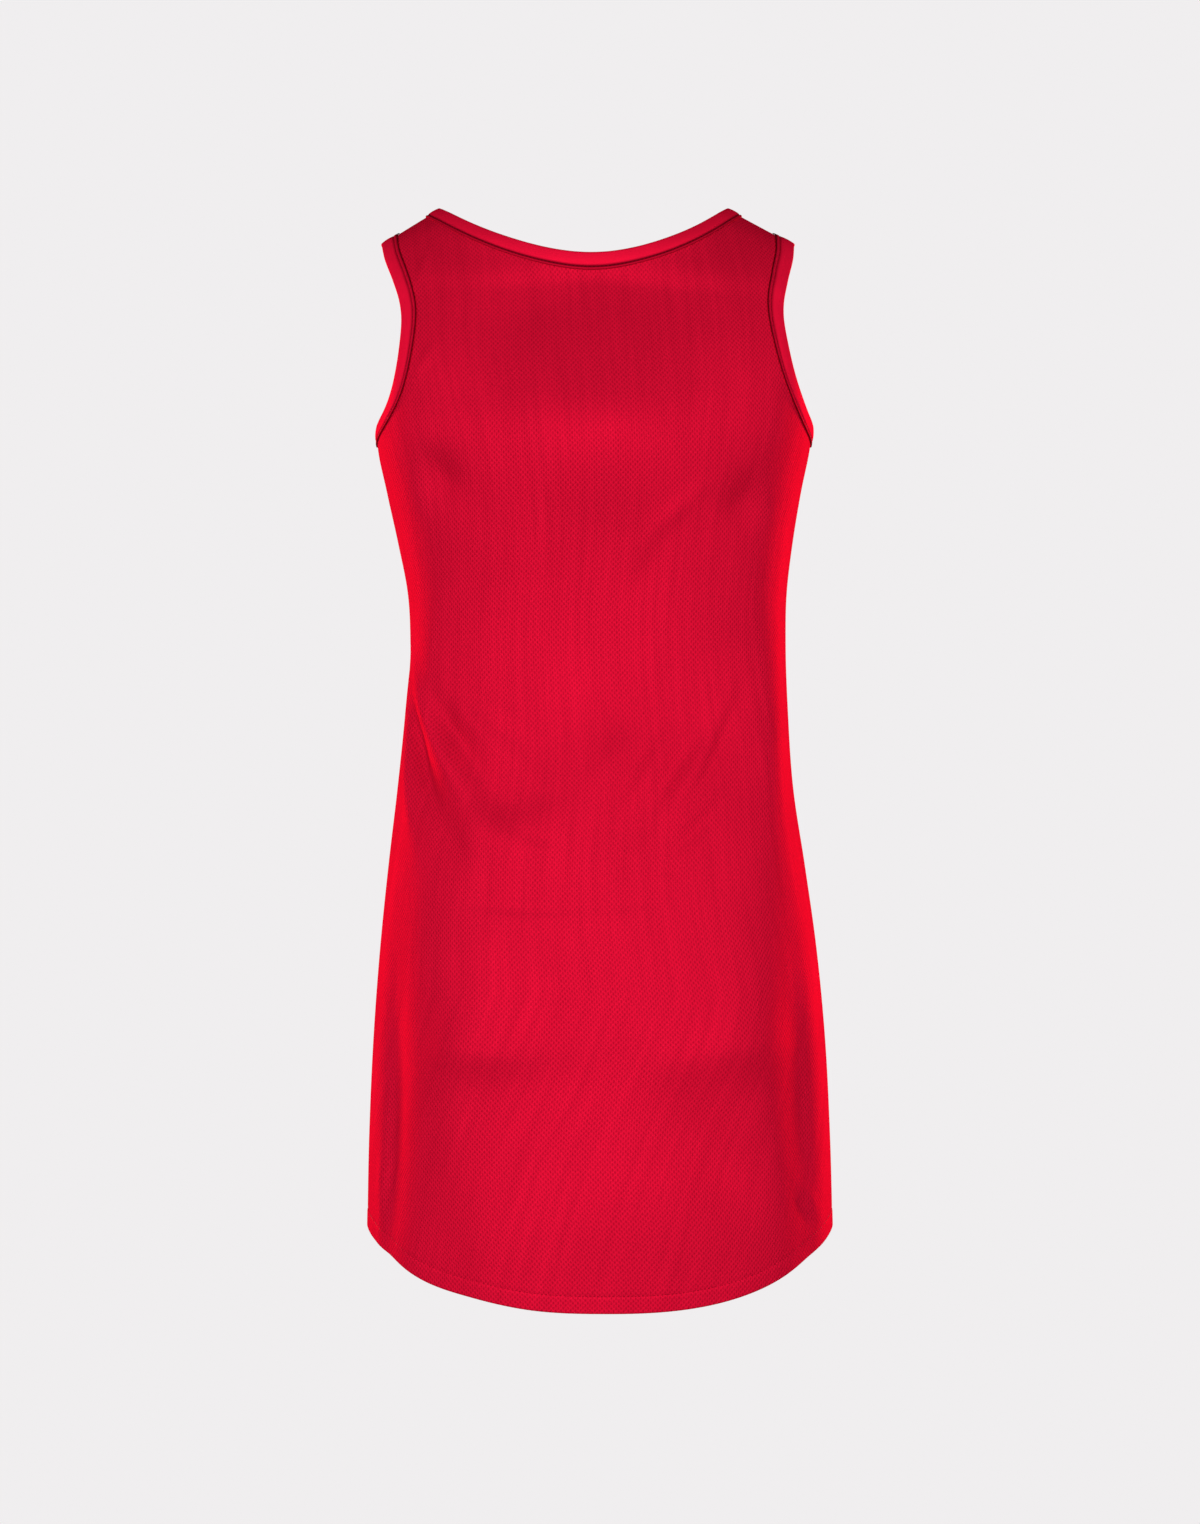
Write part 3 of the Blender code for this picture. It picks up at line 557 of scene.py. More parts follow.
def cut_panel(facing):
    """The panel's flat pattern piece: its points and its triangles."""
    outline, hem, side = panel_outline(facing)
    rows = round(hem_line(facing, 0) / (CLOTH_SPACING * math.sqrt(3) / 2))
    loose = []
    for row in range(1, rows):
        columns = np.arange(-CLOTH_COLUMNS, CLOTH_COLUMNS + 1) + 0.5 * (row % 2)
        across = columns * CLOTH_SPACING
        down = (hem_line(facing, across) - HEM_ROWS[-1]) * row / rows
        loose.append(np.column_stack((across, down)))
    field = np.vstack(loose)
    to_side = QUARTER_GIRTH - np.abs(field[:, 0])
    field = field[(to_side > SEAM_COLUMNS[-1] + CLOTH_SPACING / 2) & inside(field, outline)]
    tree = KDTree(len(outline))
    for place, point in enumerate(outline):
        tree.insert((*point, 0), place)
    tree.balance()
    clear = [tree.find((*point, 0))[2] > CLOTH_SPACING / 2 for point in field]
    hem_rows = [hem[1:-1] - (0, row) for row in HEM_ROWS]
    seam_columns = []
    for column in SEAM_COLUMNS:
        lower = hem_line(facing, QUARTER_GIRTH - column) - hem[0, 1]
        for hand in (-1, 1):
            seam_columns.append(side[1:] * (hand, 1) + (-hand * column, lower))
    points = np.vstack((outline, field[clear], *hem_rows, *seam_columns))
    ring = list(range(len(outline)))
    edges = list(zip(ring, ring[1:] + ring[:1]))
    inside_lines = 1
    corners = [Vector(point) for point in points]
    kept, _, triangles, *_ = delaunay_2d_cdt(corners, edges, [], inside_lines, SAME_POINT)
    return np.array(kept), np.array(triangles)


def knit_place(facing, pattern):
    """Metres along the knit's courses from the centre line and down its wales, for each point.

    The courses are level where the cloth comes off the shoulders.
    """
    across = np.linspace(0, QUARTER_GIRTH, KNIT_COLUMNS)
    down = np.linspace(0, hem_line(facing, 0), KNIT_ROWS)
    grid = np.array([(a, d) for d in down for a in across])
    grid = form(facing, grid).reshape(KNIT_ROWS, KNIT_COLUMNS, 3)
    course = np.linalg.norm(np.diff(grid, axis=1), axis=2).cumsum(axis=1)
    course = np.hstack((np.zeros((KNIT_ROWS, 1)), course))
    wale = np.linalg.norm(np.diff(grid, axis=0), axis=2).cumsum(axis=0)
    wale = np.vstack((np.zeros(KNIT_COLUMNS), wale))
    wale += down[-1] - wale[-1].max() - (wale[np.searchsorted(down, YOKE_LENGTH)] - YOKE_LENGTH)
    i = np.clip(pattern[:, 1] / down[1], 0, KNIT_ROWS - LAST_CELL)
    j = np.clip(np.abs(pattern[:, 0]) / across[1], 0, KNIT_COLUMNS - LAST_CELL)
    row, column = i.astype(int), j.astype(int)
    s, t = i - row, j - column
    places = []
    for table in (course, wale):
        upper = table[row, column] * (1 - t) + table[row, column + 1] * t
        lower = table[row + 1, column] * (1 - t) + table[row + 1, column + 1] * t
        places.append(upper * (1 - s) + lower * s)
    return np.column_stack((places[0] * np.sign(pattern[:, 0]), places[1]))


def smooth_normals(points, triangles):
    """Unit normals at a mesh's points."""
    first, second, third = (points[triangles[:, i]] for i in range(3))
    across_face = np.cross(second - first, third - first)
    normals = np.zeros_like(points)
    for i in range(3):
        np.add.at(normals, triangles[:, i], across_face)
    return normals / np.linalg.norm(normals, axis=1)[:, None]


def make_piece(name, points, faces, knit_places, material):
    """A smooth-shaded object of one material, with its place on the knit as its own map."""
    mesh = bpy.data.meshes.new(name)
    mesh.from_pydata(points.tolist(), [], faces)
    mesh.shade_smooth()
    corner_points = np.zeros(len(mesh.loops), int)
    mesh.loops.foreach_get("vertex_index", corner_points)
    layer = mesh.uv_layers.new(name="knit")
    layer.data.foreach_set("uv", knit_places[corner_points].astype(np.float32).ravel())
    mesh.materials.append(material)
    piece = bpy.data.objects.new(name, mesh)
    bpy.context.scene.collection.objects.link(piece)
    return piece


def thin_shell(outer, triangles, depth):
    """A closed shell of cloth inside an outer face, with a rounded rim along its edge.

    It gives the points of the outer face, the inner face and the rim, then the faces, and then
    the outer face's edge points in the rim's order.
    """
    normals = smooth_normals(outer, triangles)
    inner = outer - normals * depth[:, None]
    faces = [tuple(corners) for corners in triangles.tolist()]
    directed = {(a, b) for face in faces for a, b in zip(face, face[1:] + face[:1])}
    after = {a: b for a, b in directed if (b, a) not in directed}
    before = {b: a for a, b in after.items()}
    edge = sorted(after)
    along = outer[[after[i] for i in edge]] - outer[[before[i] for i in edge]]
    beyond = np.cross(along, normals[edge])
    beyond /= np.linalg.norm(beyond, axis=1)[:, None]
    rim = (outer[edge] + inner[edge]) / 2 + beyond * (RIM_BULGE * depth[edge])[:, None]
    count = len(outer)
    rim_of = {point: 2 * count + place for place, point in enumerate(edge)}
    faces += [tuple(count + i for i in reversed(face)) for face in faces]
    for a in edge:
        b = after[a]
        faces.append((b, a, rim_of[a], rim_of[b]))
        faces.append((rim_of[b], rim_of[a], count + a, count + b))
    return np.vstack((outer, inner, rim)), faces, edge


def make_panel(name, facing, material):
    """A panel as a thin closed shell, its flat cut's width and length, and its flat area."""
    pattern, triangles = cut_panel(facing)
    if facing == FRONT:
        triangles = triangles[:, ::-1]
    above_hem = hem_line(facing, pattern[:, 0]) - pattern[:, 1]
    turned_up = np.clip((HEM_TURNING + HEM_EXTRA - above_hem) / HEM_EXTRA, 0, 1)
    depth = WALL + HEM_EXTRA * turned_up
    points, faces, edge = thin_shell(draped(facing, pattern), triangles, depth)
    places = knit_place(facing, pattern)
    piece = make_piece(name, points, faces, np.vstack((places, places, places[edge])), material)

    flat = places[triangles]
    side_one, side_two = flat[:, 1] - flat[:, 0], flat[:, 2] - flat[:, 0]
    area = np.abs(side_one[:, 0] * side_two[:, 1] - side_one[:, 1] * side_two[:, 0]).sum() / 2
    cut = (float(np.ptp(places[:, 0])), float(np.ptp(places[:, 1])))
    return piece, cut, float(area)


class Wire:
    """A value in a shader. Sums and products of wires add their own maths nodes."""

    def __init__(self, tree, socket=None):
        self.tree = tree
        self.socket = socket

    def node(self, kind, settings, sockets, output=0):
        """Any node in this wire's tree: its settings first, then its sockets' values or wires."""
        added = self.tree.nodes.new(kind)
        for name, value in settings.items():
            setattr(added, name, value)
        for name, value in sockets.items():
            if isinstance(value, Wire):
                self.tree.links.new(value.socket, added.inputs[name])
            else:
                added.inputs[name].default_value = value
        return Wire(self.tree, added.outputs[output])

    def maths(self, operation, other=0.0):
        return self.node("ShaderNodeMath", {"operation": operation}, {0: self, 1: other})

    def step(self, low, high):
        """0 below low, 1 above high, and smooth between them."""
        settings = {"interpolation_type": "SMOOTHSTEP"}
        return self.node("ShaderNodeMapRange", settings, {0: self, 1: low, 2: high})

    def noise(self, place, scale, detail):
        """Even noise from 0 to 1 at a place, with so many lumps a metre."""
        sockets = {"Vector": place, "Scale": scale, "Detail": detail}
        return self.node("ShaderNodeTexNoise", {}, sockets)

    def mix(self, low_colour, high_colour):
        """The colour that this wire, from 0 to 1, picks between two colours."""
        settings = {"data_type": "RGBA"}
        return self.node("ShaderNodeMix", settings, {0: self, 6: low_colour, 7: high_colour}, 2)

    def relief(self, strength):
        """The surface's normal where this wire is its height in metres."""
        sockets = {"Strength": strength, "Distance": 1.0, "Height": self}
        return self.node("ShaderNodeBump", {}, sockets)

    def feed(self, socket):
        """Links this wire into a shader's socket."""
        self.tree.links.new(self.socket, socket)

    def __add__(self, other):
        return self.maths("ADD", other)

    def __sub__(self, other):
        return self.maths("SUBTRACT", other)

    def __rsub__(self, other):
        return self * -1 + other

    def __mul__(self, other):
        return self.maths("MULTIPLY", other)

    __radd__ = __add__
    __rmul__ = __mul__


EYELET_ACROSS = 0.00356       # one repeat of the staggered eyelets
EYELET_DOWN = 0.00384
EYELET_DEPTH = 0.00022
YARN_DEPTH = 0.00008
MESH_RED = (0.90, 0.0064, 0.0445, 1)
EYELET_RED = (0.30, 0.0020, 0.0145, 1)
SHEEN_RED = (1.0, 0.004, 0.040, 1)
SATIN = 0.32                  # share of light that filament yarns throw back in their own colour
KNIT_RELIEF = 0.9             # strength of a knit's relief
KNIT_ROUGHNESS = 0.55
GRAIN_ROUGHNESS = 0.10        # added where a knit's grain stands highest

LEAN = 0.045                  # how far the wales lean aside, in long slow waves
LEAN_LUMPS = 5                # a metre down the wales
LEAN_ACROSS = 0.3             # how many of those there are across, for each one down
WANDER = 0.0016               # how far the eyelets wander from their lattice
WANDER_LUMPS = 45
YARN_LUMPS = 1400
FLECK_LUMPS = 520
CLOUD_LUMPS = 16
STREAK_LUMPS = 150            # a metre across the wales
STREAK_DOWN = 0.06            # how many of those there are down, for each one across
STREAK_GATHER = 0.35          # how much closer together the streaks are at the waist
STREAK_FLARE = 0.35           # how far the streaks lean aside below the seat, a metre down
GATHER_START = 0.20           # metres down the cloth
GATHER_WAIST = 0.42
GATHER_END = 0.70
FLARE_START = 0.72

MESH_SHADE = 0.415            # from the eyelets' red at 0 to the mesh's at 1
CLOUD_SHADE = 0.20
FLECK_SHADE = 0.35
STREAK_SHADE = 0.56
EYELET_SHADE = 0.40


def knit_wires(material):
    """A point's place in metres on its knit's own map, and that place's two numbers."""
    place = Wire(material.node_tree).node("ShaderNodeUVMap", {"uv_map": "knit"}, {})
    along, down = (place.node("ShaderNodeSeparateXYZ", {}, {0: place}, axis) for axis in "XY")
    return place, along, down


def finish_knit(shader, colour, height, grain):
    """Gives a knit its colour, its relief, and the soft sheen of filament yarns."""
    colour.feed(shader["Base Color"])
    height.relief(KNIT_RELIEF).feed(shader["Normal"])
    (KNIT_ROUGHNESS + grain * GRAIN_ROUGHNESS).feed(shader["Roughness"])
    shader["Metallic"].default_value = SATIN
    shader["Specular IOR Level"].default_value = 0.0
    shader["Specular Tint"].default_value = SHEEN_RED


def mesh_knit_material():
    """Red birdseye mesh: a lattice of eyelets in a soft, slightly uneven filament knit."""
    material, shader = new_material("red birdseye mesh")
    place, across, down = knit_wires(material)
    lean_place = place.node("ShaderNodeCombineXYZ", {}, {"X": across * LEAN_ACROSS, "Y": down})
    across = across + (place.noise(lean_place, LEAN_LUMPS, 0) - 0.5) * LEAN
    wander = (place.noise(place, WANDER_LUMPS, 2) - 0.5) * WANDER
    courses = ((down + wander) * (2 * math.pi / EYELET_DOWN)).maths("COSINE")
    wales = ((across + wander) * (2 * math.pi / EYELET_ACROSS)).maths("COSINE")
    eyelet = wales * (wales + courses) * 0.5
    yarn = place.noise(place, YARN_LUMPS, 2)
    fleck = place.noise(place, FLECK_LUMPS, 1)
    cloud = place.noise(place, CLOUD_LUMPS, 3)
    to_waist = down.step(GATHER_START, GATHER_WAIST) - down.step(GATHER_WAIST, GATHER_END)
    flare = (down - FLARE_START).maths("MAXIMUM", 0.0) * STREAK_FLARE
    drawn = across * (to_waist * STREAK_GATHER + 1) - flare
    streak_place = place.node("ShaderNodeCombineXYZ", {}, {"X": drawn, "Y": down * STREAK_DOWN})
    streak = place.noise(streak_place, STREAK_LUMPS, 2)
    shade = MESH_SHADE + cloud * CLOUD_SHADE + fleck * FLECK_SHADE
    shade = shade + (streak - 0.5) * cloud * STREAK_SHADE - eyelet * EYELET_SHADE
    height = yarn * YARN_DEPTH - eyelet * EYELET_DEPTH
    finish_knit(shader, shade.mix(EYELET_RED, MESH_RED), height, yarn)
    return material


birdseye = mesh_knit_material()
for name, facing in (("back_shell", BACK), ("front_shell", FRONT)):
    piece, cut, area = make_panel(name, facing, birdseye)
    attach(piece, "root")
    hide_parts("back_panel" if facing == BACK else "front_panel")


# --- Neck and armhole bindings ------------------------------------------------------------
# Three strips of finer plain knit, each folded in half over a raw edge and stitched through all the
# layers near its inner edge. The stitching draws a groove in the strip, and the folded edge stays
# soft and round. Painted shade darkens the stitched groove and the strip's inner edge.

STRIP_WALL = 0.0010           # each leaf of a folded binding
STRIP_EDGE = 0.45             # share of its thickness that a leaf keeps at its inner edge
EDGE_TURN = 0.0009            # width over which the inner edge is rounded off
STRIP_SWELL = 0.00035         # how far the strip stands up between its stitching and its fold
FOLD_RADIUS = STRIP_WALL + GAP + WALL / 2
FOLD_BULGE = 0.8              # how round the fold is, 1 is a half circle
STITCH_DENT = 0.0008          # how far the stitching draws the strip in
STITCH_DENT_WIDTH = 0.0006
STITCH_PUCKER = 0.3           # how much less the strip is drawn in between two stitches
STITCH = 0.0029               # from one stitch to the next
STATION_SPACING = STITCH / 3
WALK_STAGES = 4               # in which a strip's width is walked in from its edge

EDGE_POINTS = (0, 0.0003, 0.0009)         # section points, in from the strip's inner edge
DENT_POINTS = (-1.6, -0.9, 0, 0.9, 1.6)   # beside the stitching, in widths of its dent
LEAF_START = 0.0020                       # from the stitching to the first point of the rest
LEAF_POINTS = 7                           # from there to the fold
FOLD_POINTS = 5                           # round the fold

# How an edge is bound: how much of it the strip covers, how far the stitching is from the strip's
# inner edge, and how strongly painted shade darkens the stitched groove and that inner edge.
Sewing = namedtuple("Sewing", "width stitch_in groove edge")
NECK_SEWING = Sewing(0.0115, 0.0023, 1.00, 0.60)
ARMHOLE_SEWING = Sewing(0.0129, 0.0030, 0.60, 0.95)

PLAIN_RED = (0.90, 0.0058, 0.0432, 1)
PLAIN_SHADE_RED = (0.68, 0.0043, 0.0316, 1)
# Painted shade: the darker red that the stitched groove and the strip's inner edge are mixed
# towards, and how wide it spreads.
PAINTED_SHADE_RED = (0.05, 0.0006, 0.0030, 1)
PAINTED_GROOVE_SHADE_WIDTH = 0.0009
EDGE_PAINTED_SHADE = 1.5              # how far in from its edge the strip is dark, in edge turns
PLAIN_WALE = 0.0009           # from one rib of the plain knit to the next
PLAIN_COURSE = 0.0011
RIB_SLANT = 0.25              # how far the loops slant beside a rib, in courses
LOOP_DEPTH = 0.00009
PUCKER_DEPTH = 0.0002
PUCKER_LUMPS = 60
PLAIN_SHADE = 0.45            # from the shade's red at 0 to the plain red at 1
LOOP_SHADE = 0.25
PUCKER_SHADE = 0.45


def walk_in(facing, edge, width):
    """The line on the cloth that lies width in from an edge line and square to it."""
    pattern = edge.copy()
    along = np.gradient(form(facing, edge), axis=0)
    for _ in range(WALK_STAGES):
        to_side, to_hem = slopes(facing, pattern, form)
        to_side /= 2 * PATTERN_STEP
        to_hem /= 2 * PATTERN_STEP
        inward = facing * np.cross(along, facing_out(facing, pattern, form))
        inward *= width / WALK_STAGES / np.linalg.norm(inward, axis=1)[:, None]
        side_side = (to_side * to_side).sum(axis=1)
        side_hem = (to_side * to_hem).sum(axis=1)
        hem_hem = (to_hem * to_hem).sum(axis=1)
        side_in = (to_side * inward).sum(axis=1)
        hem_in = (to_hem * inward).sum(axis=1)
        area = side_side * hem_hem - side_hem ** 2
        pattern[:, 0] += (side_in * hem_hem - hem_in * side_hem) / area
        pattern[:, 1] += (hem_in * side_side - side_in * side_hem) / area
    return pattern


def along_seam(facing, start, direction, width):
    """The point on a seam that is width of cloth along it from start."""
    step = np.array(direction) * PATTERN_STEP
    ends = form(facing, np.array((start, start + step)))
    return start + step * width / np.linalg.norm(ends[1] - ends[0])


def bound_edge(edge_line, sewing, seam_ways):
    """An edge on the back and on the front: its line, and the line where its strip ends.

    seam_ways are the pattern's directions along the seams where the edge starts and ends.
    """
    pairs = []
    for facing in (BACK, FRONT):
        edge = edge_line(facing, STATION_SPACING)
        inner = walk_in(facing, edge, sewing.width)
        for end, way in zip((0, -1), seam_ways):
            inner[end] = along_seam(facing, edge[end], way, sewing.width)
        pairs.append((edge, inner))
    return pairs


def folded(facing, pattern):
    """The cloth under a binding: its folds without its sewing."""
    return lifted(facing, pattern, fold_rise(facing, pattern))


def strip_grid(facing, edge, inner, rows, width):
    """Points and normals of the cloth under a strip, a row of them for each station."""
    points, normals = [], []
    for row in rows:
        pattern = inner + (edge - inner) * row / width
        points.append(folded(facing, pattern))
        normals.append(facing_out(facing, pattern, folded))
    return np.stack(points, axis=1), np.stack(normals, axis=1)


def strip_ring(back, front, rows, width):
    """The same all round: along the back edge and home along the front, flush at the seams."""
    back_points, back_normals = strip_grid(BACK, *back, rows, width)
    front_points, front_normals = strip_grid(FRONT, *front, rows, width)
    cloth = np.concatenate((back_points, front_points[::-1][1:-1]))
    normals = np.concatenate((back_normals, front_normals[::-1][1:-1]))
    for seam in (0, len(back_points) - 1):
        cloth[seam, :, 1] = 0
    return cloth, normals


def strip_rows(sewing):
    """Distances from the strip's inner edge at which its section has points."""
    near_stitch = sewing.stitch_in + STITCH_DENT_WIDTH * np.array(DENT_POINTS)
    leaf = np.linspace(sewing.stitch_in + LEAF_START, sewing.width, LEAF_POINTS)
    return np.sort(np.concatenate((EDGE_POINTS, near_stitch, leaf)))


def strip_height(rows, past_stitch, at_stations, sewing):
    """How high the strip's outer face stands off the cloth, for each station and row."""
    between = (1 - np.cos(2 * math.pi * at_stations)) / 2
    dent = STITCH_DENT * np.exp(-(past_stitch / STITCH_DENT_WIDTH) ** 2)
    to_fold = np.clip(past_stitch / (sewing.width - sewing.stitch_in), 0, 1)
    rounded = np.sqrt(np.clip(rows / EDGE_TURN, 0, 1))
    height = GAP + STRIP_WALL * (STRIP_EDGE + (1 - STRIP_EDGE) * rounded)
    height += STRIP_SWELL * np.sin(math.pi * to_fold)
    return height[None] - dent[None] * (1 - STITCH_PUCKER * between[:, None])


def strip_section(cloth, normals, height):
    """Points round the strip at each station: outer leaf, fold, inner leaf, and the slot between."""
    beyond = cloth[:, -1] - cloth[:, -2]
    beyond /= np.linalg.norm(beyond, axis=1)[:, None]
    out = normals[:, -1]
    middle = cloth[:, -1] - out * WALL / 2
    nose = []
    for turn in np.linspace(0, math.pi, FOLD_POINTS + 2)[1:-1]:
        towards = out * math.cos(turn) + FOLD_BULGE * beyond * math.sin(turn)
        nose.append(middle + FOLD_RADIUS * towards)
    top = cloth + normals * height[..., None]
    bottom = (cloth - normals * (height + WALL)[..., None])[:, ::-1]
    under_cloth = (cloth - normals * (WALL + GAP))[:, (0, -1)]
    over_cloth = (cloth + normals * GAP)[:, (-1, 0)]
    past_edge = beyond * GAP
    under_cloth[:, 1] += past_edge
    over_cloth[:, 0] += past_edge
    return np.concatenate((top, np.stack(nose, axis=1), bottom, under_cloth, over_cloth), axis=1)


def ring_faces(stations, corners):
    """Faces between the equal closed sections of a ring."""
    faces = []
    for i in range(stations):
        j = (i + 1) % stations
        for k in range(corners):
            m = (k + 1) % corners
            faces.append((i * corners + k, i * corners + m, j * corners + m, j * corners + k))
    return faces


def make_binding(name, back, front, sewing, material):
    """One folded strip as a closed ring, its flat size, and the line that its stitches follow."""
    rows = strip_rows(sewing)
    past_stitch = rows - sewing.stitch_in
    cloth, normals = strip_ring(back, front, rows, sewing.width)
    run = run_along(np.vstack((cloth[:, -1], cloth[:1, -1])))
    length = run[-1]
    at_stations = run / length * round(length / STITCH)
    height = strip_height(rows, past_stitch, at_stations[:-1], sewing)
    section = strip_section(cloth, normals, height)

    stations, corners, _ = section.shape
    faces = ring_faces(stations, corners)
    up = np.cross(section[1, 1] - section[1, 0], section[2, 0] - section[1, 0])
    if up @ normals[1, 0] < 0:
        faces = [face[::-1] for face in faces]
    sides = np.linalg.norm(np.diff(section, axis=1, append=section[:, :1]), axis=2)
    girth = np.concatenate(([0], sides.mean(axis=0).cumsum()))[:-1]
    places = np.stack(np.meshgrid(run[:-1], girth, indexing="ij"), axis=2).reshape(-1, 2)
    piece = make_piece(name, section.reshape(-1, 3), faces, places, material)

    # Painted shade: how dark the stitched groove and the strip's inner edge are made, stored as the
    # groove attribute.
    dark = sewing.groove * np.exp(-(past_stitch / PAINTED_GROOVE_SHADE_WIDTH) ** 2)
    dark += sewing.edge * np.clip(EDGE_PAINTED_SHADE - rows / EDGE_TURN, 0, 1)
    painted_shade_round = np.zeros(corners)
    painted_shade_round[:len(rows)] = dark
    painted_shade_round[len(rows) + FOLD_POINTS:][:len(rows)] = dark[::-1]
    layer = piece.data.attributes.new("groove", "FLOAT", "POINT")
    layer.data.foreach_set("value", np.tile(painted_shade_round, stations).astype(np.float32))

    stitch_row = int(np.argmin(np.abs(past_stitch)))
    groove = np.vstack((section[:, stitch_row], section[:1, stitch_row]))
    out = np.vstack((normals[:, stitch_row], normals[:1, stitch_row]))
    cut = (float(length), float(2 * sewing.width + math.pi * FOLD_RADIUS))
    return piece, cut, (groove, out, at_stations)


def plain_knit_material():
    """Red plain knit: fine even ribs of stitches, smoother than the mesh, with painted shade in its
    stitched groove and along its inner edge.
    """
    material, shader = new_material("red plain knit")
    place, along, across = knit_wires(material)
    rib = (along * (2 * math.pi / PLAIN_WALE)).maths("COSINE")
    slant = rib * RIB_SLANT
    course = ((across * (1 / PLAIN_COURSE) + slant) * (2 * math.pi)).maths("COSINE")
    loops = (rib * 0.5 + course * 0.5) * 0.5 + 0.5
    pucker = place.noise(place, PUCKER_LUMPS, 3)
    shade = PLAIN_SHADE + loops * LOOP_SHADE + pucker * PUCKER_SHADE
    # The groove attribute mixes in painted shade along the stitched groove and the strip's inner
    # edge.
    groove = place.node("ShaderNodeAttribute", {"attribute_name": "groove"}, {}, "Fac")
    colour = groove.mix(shade.mix(PLAIN_SHADE_RED, PLAIN_RED), PAINTED_SHADE_RED)
    finish_knit(shader, colour, loops * LOOP_DEPTH + pucker * PUCKER_DEPTH, loops)
    return material


def mirrored_pair(pair):
    """Both lines of a bound edge on the panel's other half, each run from the underarm up."""
    return tuple(line * np.array((-1, 1)) for line in pair)


plain_knit = plain_knit_material()
stitch_lines = []
neck_edges = bound_edge(neck_line, NECK_SEWING, ((1, 0), (-1, 0)))
armhole_edges = bound_edge(armhole_line, ARMHOLE_SEWING, ((0, 1), (-1, 0)))
right_edges = [mirrored_pair(pair) for pair in armhole_edges]
BINDINGS = (
    ("neck_band", "neck_binding", neck_edges, NECK_SEWING),
    ("left_armhole_band", "armhole_binding_left", armhole_edges, ARMHOLE_SEWING),
    ("right_armhole_band", "armhole_binding_right", right_edges, ARMHOLE_SEWING),
)
for name, node, edges, sewing in BINDINGS:
    piece, cut, line = make_binding(name, *edges, sewing, plain_knit)
    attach(piece, "root")
    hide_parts(node)
    cut[0] * cut[1]
    stitch_lines.append(line)


# --- Topstitching -------------------------------------------------------------------------
# Rows of polyester lockstitch in a darker red: one on each binding and one round each panel's
# turned-up hem. Each stitch is a short, slightly arched run of thread that sits in its groove.

THREAD_RED = (0.30, 0.0020, 0.0120, 1)
THREAD_SHADE_RED = (0.20, 0.0015, 0.0090, 1)
THREAD_ROUGHNESS = 0.6
THREAD_GLOSS = 0.2
THREAD_RELIEF = 0.8
PLY_DEPTH = 0.0001
PLY_LUMPS = 900
THREAD_THICKNESS = 0.00050
STITCH_LENGTH = 0.0021        # of the thread that shows
STITCH_RISE = 0.00005         # middle of the thread above its groove
HEM_STITCH = 0.0028           # from one stitch of a hem to the next
STITCH_SEGMENTS = 6
STITCH_RINGS = 4
DIRECTION_SPAN = 0.2          # in stitches, each way, over which a stitch takes its direction


def stitch_tree():
    """Geometry nodes that lay one short run of thread on each point, along its own direction."""
    tree = bpy.data.node_groups.new("stitches", "GeometryNodeTree")
    tree.interface.new_socket("Seats", in_out="INPUT", socket_type="NodeSocketGeometry")
    tree.interface.new_socket("Stitch length", in_out="INPUT", socket_type="NodeSocketFloat")
    tree.interface.new_socket("Thread thickness", in_out="INPUT", socket_type="NodeSocketFloat")
    tree.interface.new_socket("Thread", in_out="INPUT", socket_type="NodeSocketMaterial")
    tree.interface.new_socket("Stitches", in_out="OUTPUT", socket_type="NodeSocketGeometry")

    def add(kind, settings=(), **sockets):
        node = tree.nodes.new(kind)
        for name, value in settings:
            setattr(node, name, value)
        for name, value in sockets.items():
            socket = node.inputs[name.replace("_", " ")]
            if isinstance(value, bpy.types.NodeSocket):
                tree.links.new(value, socket)
            else:
                socket.default_value = value
        return node.outputs[0] if node.outputs else None

    sizes = tree.nodes.new("NodeGroupInput").outputs
    vector = (("data_type", "FLOAT_VECTOR"),)
    along = add("GeometryNodeInputNamedAttribute", vector, Name="along")
    out = add("GeometryNodeInputNamedAttribute", vector, Name="out")
    axes = (("primary_axis", "X"), ("secondary_axis", "Z"))
    turned = add("FunctionNodeAxesToRotation", axes, Primary_Axis=along, Secondary_Axis=out)
    shape = add("GeometryNodeMeshUVSphere", Segments=STITCH_SEGMENTS, Rings=STITCH_RINGS, Radius=0.5)
    thickness = sizes["Thread thickness"]
    size = add("ShaderNodeCombineXYZ", X=sizes["Stitch length"], Y=thickness, Z=thickness)
    thread_run = add("GeometryNodeTransform", Geometry=shape, Scale=size)
    laid = add(
        "GeometryNodeInstanceOnPoints", Points=sizes["Seats"], Instance=thread_run, Rotation=turned
    )
    real = add("GeometryNodeRealizeInstances", Geometry=laid)
    smooth = add("GeometryNodeSetShadeSmooth", Geometry=real)
    finished = add("GeometryNodeSetMaterial", Geometry=smooth, Material=sizes["Thread"])
    tree.links.new(finished, tree.nodes.new("NodeGroupOutput").inputs["Stitches"])
    return tree


def hem_groove(facing):
    """The hem's stitching line from side seam to side seam, and where its stitches fall."""
    across = np.linspace(-QUARTER_GIRTH, QUARTER_GIRTH, CURVE_SAMPLES)
    pattern = np.column_stack((across, hem_line(facing, across) - HEM_TURNING))
    groove = draped(facing, pattern)
    run = run_along(groove)
    stitches = round(run[-1] / HEM_STITCH)
    return groove, facing_out(facing, pattern, draped), run / run[-1] * stitches


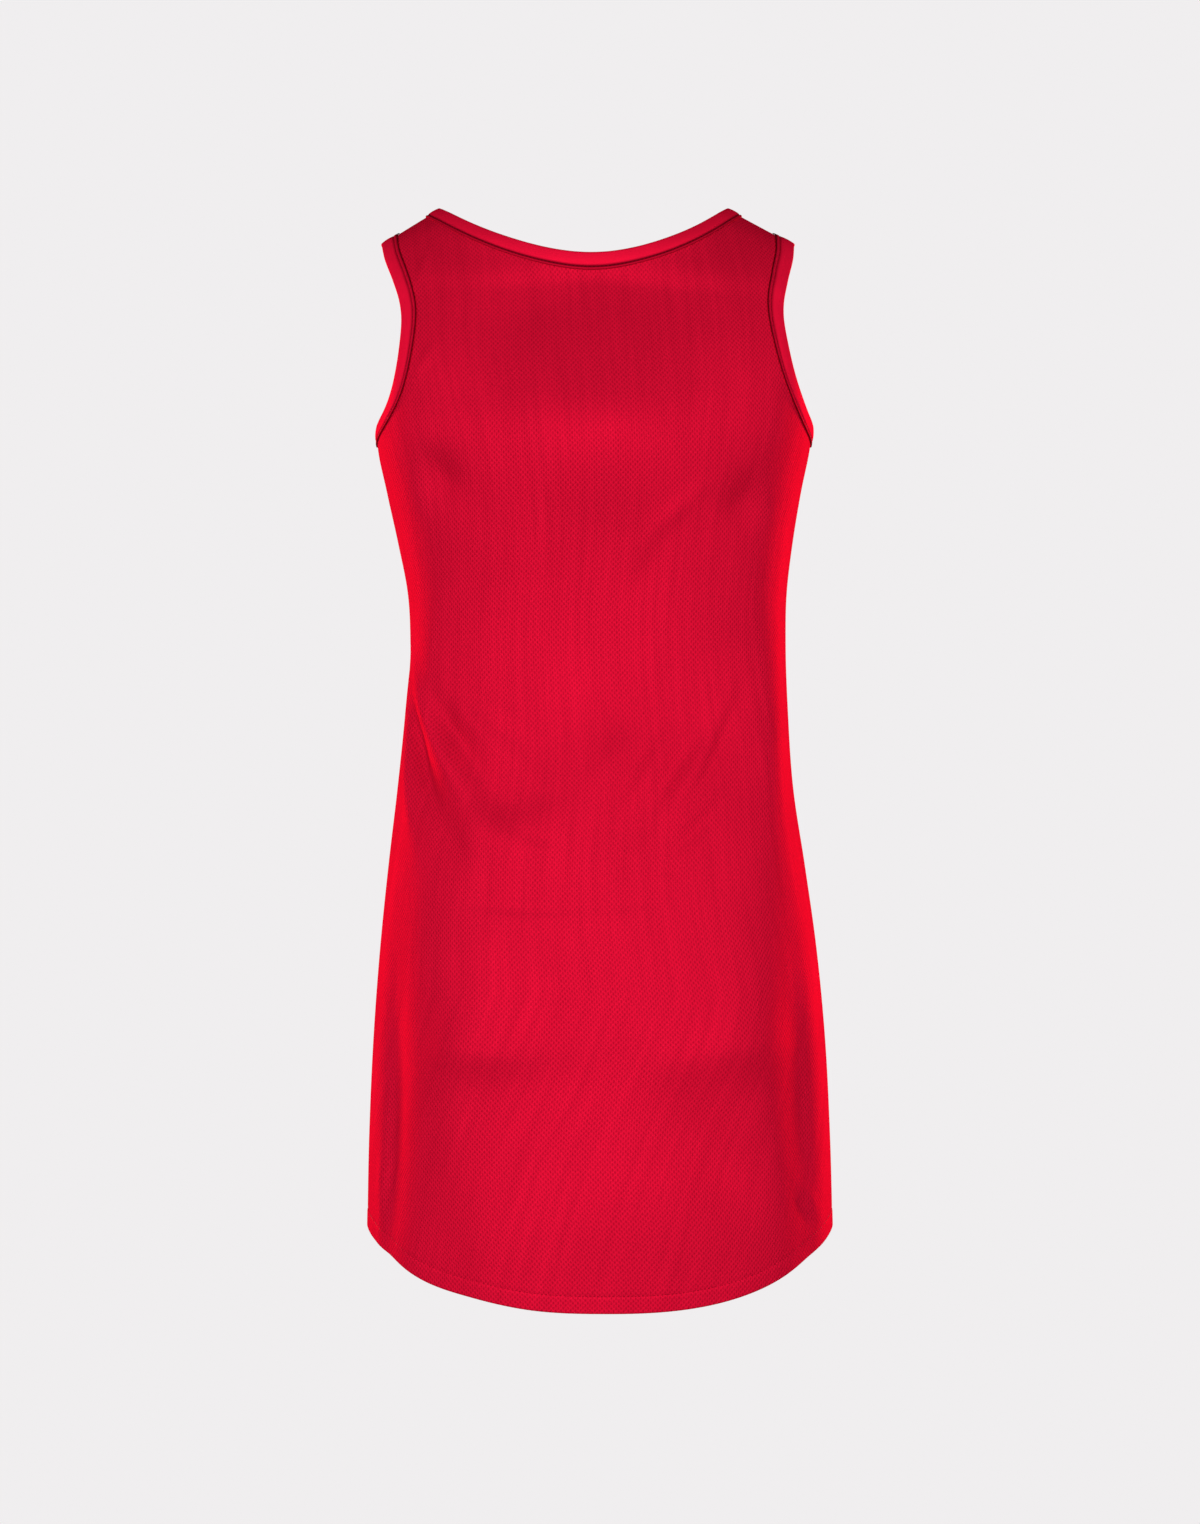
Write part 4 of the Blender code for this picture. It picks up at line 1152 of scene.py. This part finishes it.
def thread_material():
    """Dark red polyester thread with a slight twist."""
    material, shader = new_material("dark red thread")
    place = Wire(material.node_tree).node("ShaderNodeTexCoord", {}, {}, "Object")
    ply = place.noise(place, PLY_LUMPS, 2)
    ply.mix(THREAD_SHADE_RED, THREAD_RED).feed(shader["Base Color"])
    (ply * PLY_DEPTH).relief(THREAD_RELIEF).feed(shader["Normal"])
    shader["Roughness"].default_value = THREAD_ROUGHNESS
    shader["Specular IOR Level"].default_value = THREAD_GLOSS
    shader["Specular Tint"].default_value = SHEEN_RED
    return material


def at_stitches(values, at_stations, places):
    """Three numbers a station, read at places along the row, which count in stitches."""
    return np.column_stack([np.interp(places, at_stations, values[:, i]) for i in range(3)])


def sew(name, groove, out, at_stations, tree, thread):
    """One row of stitches as a plain mesh, riding on the dress's one body."""
    middles = np.arange(round(at_stations[-1])) + 0.5
    seats = at_stitches(groove, at_stations, middles)
    along = at_stitches(groove, at_stations, middles + DIRECTION_SPAN)
    along -= at_stitches(groove, at_stations, middles - DIRECTION_SPAN)
    along /= np.linalg.norm(along, axis=1)[:, None]
    upward = at_stitches(out, at_stations, middles)
    mesh = bpy.data.meshes.new(name)
    mesh.from_pydata((seats + upward * STITCH_RISE).tolist(), [], [])
    for attribute, values in (("along", along), ("out", upward)):
        layer = mesh.attributes.new(attribute, "FLOAT_VECTOR", "POINT")
        layer.data.foreach_set("vector", values.astype(np.float32).ravel())
    row = bpy.data.objects.new(name, mesh)
    bpy.context.scene.collection.objects.link(row)
    modifier = row.modifiers.new("stitches", "NODES")
    modifier.node_group = tree
    sizes = {"Stitch length": STITCH_LENGTH, "Thread thickness": THREAD_THICKNESS, "Thread": thread}
    for item in tree.interface.items_tree:
        if item.in_out == "INPUT" and item.name in sizes:
            modifier[item.identifier] = sizes[item.name]
    evaluated = row.evaluated_get(bpy.context.evaluated_depsgraph_get())
    sewn = bpy.data.meshes.new_from_object(evaluated)
    row.modifiers.remove(modifier)
    row.data = sewn
    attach(row, "root")


tree = stitch_tree()
thread = thread_material()
ROWS = (
    ("neck_stitching", stitch_lines[0]),
    ("left_armhole_stitching", stitch_lines[1]),
    ("right_armhole_stitching", stitch_lines[2]),
    ("back_hem_stitching", hem_groove(BACK)),
    ("front_hem_stitching", hem_groove(FRONT)),
)
for name, line in ROWS:
    sew(name, *line, tree, thread)
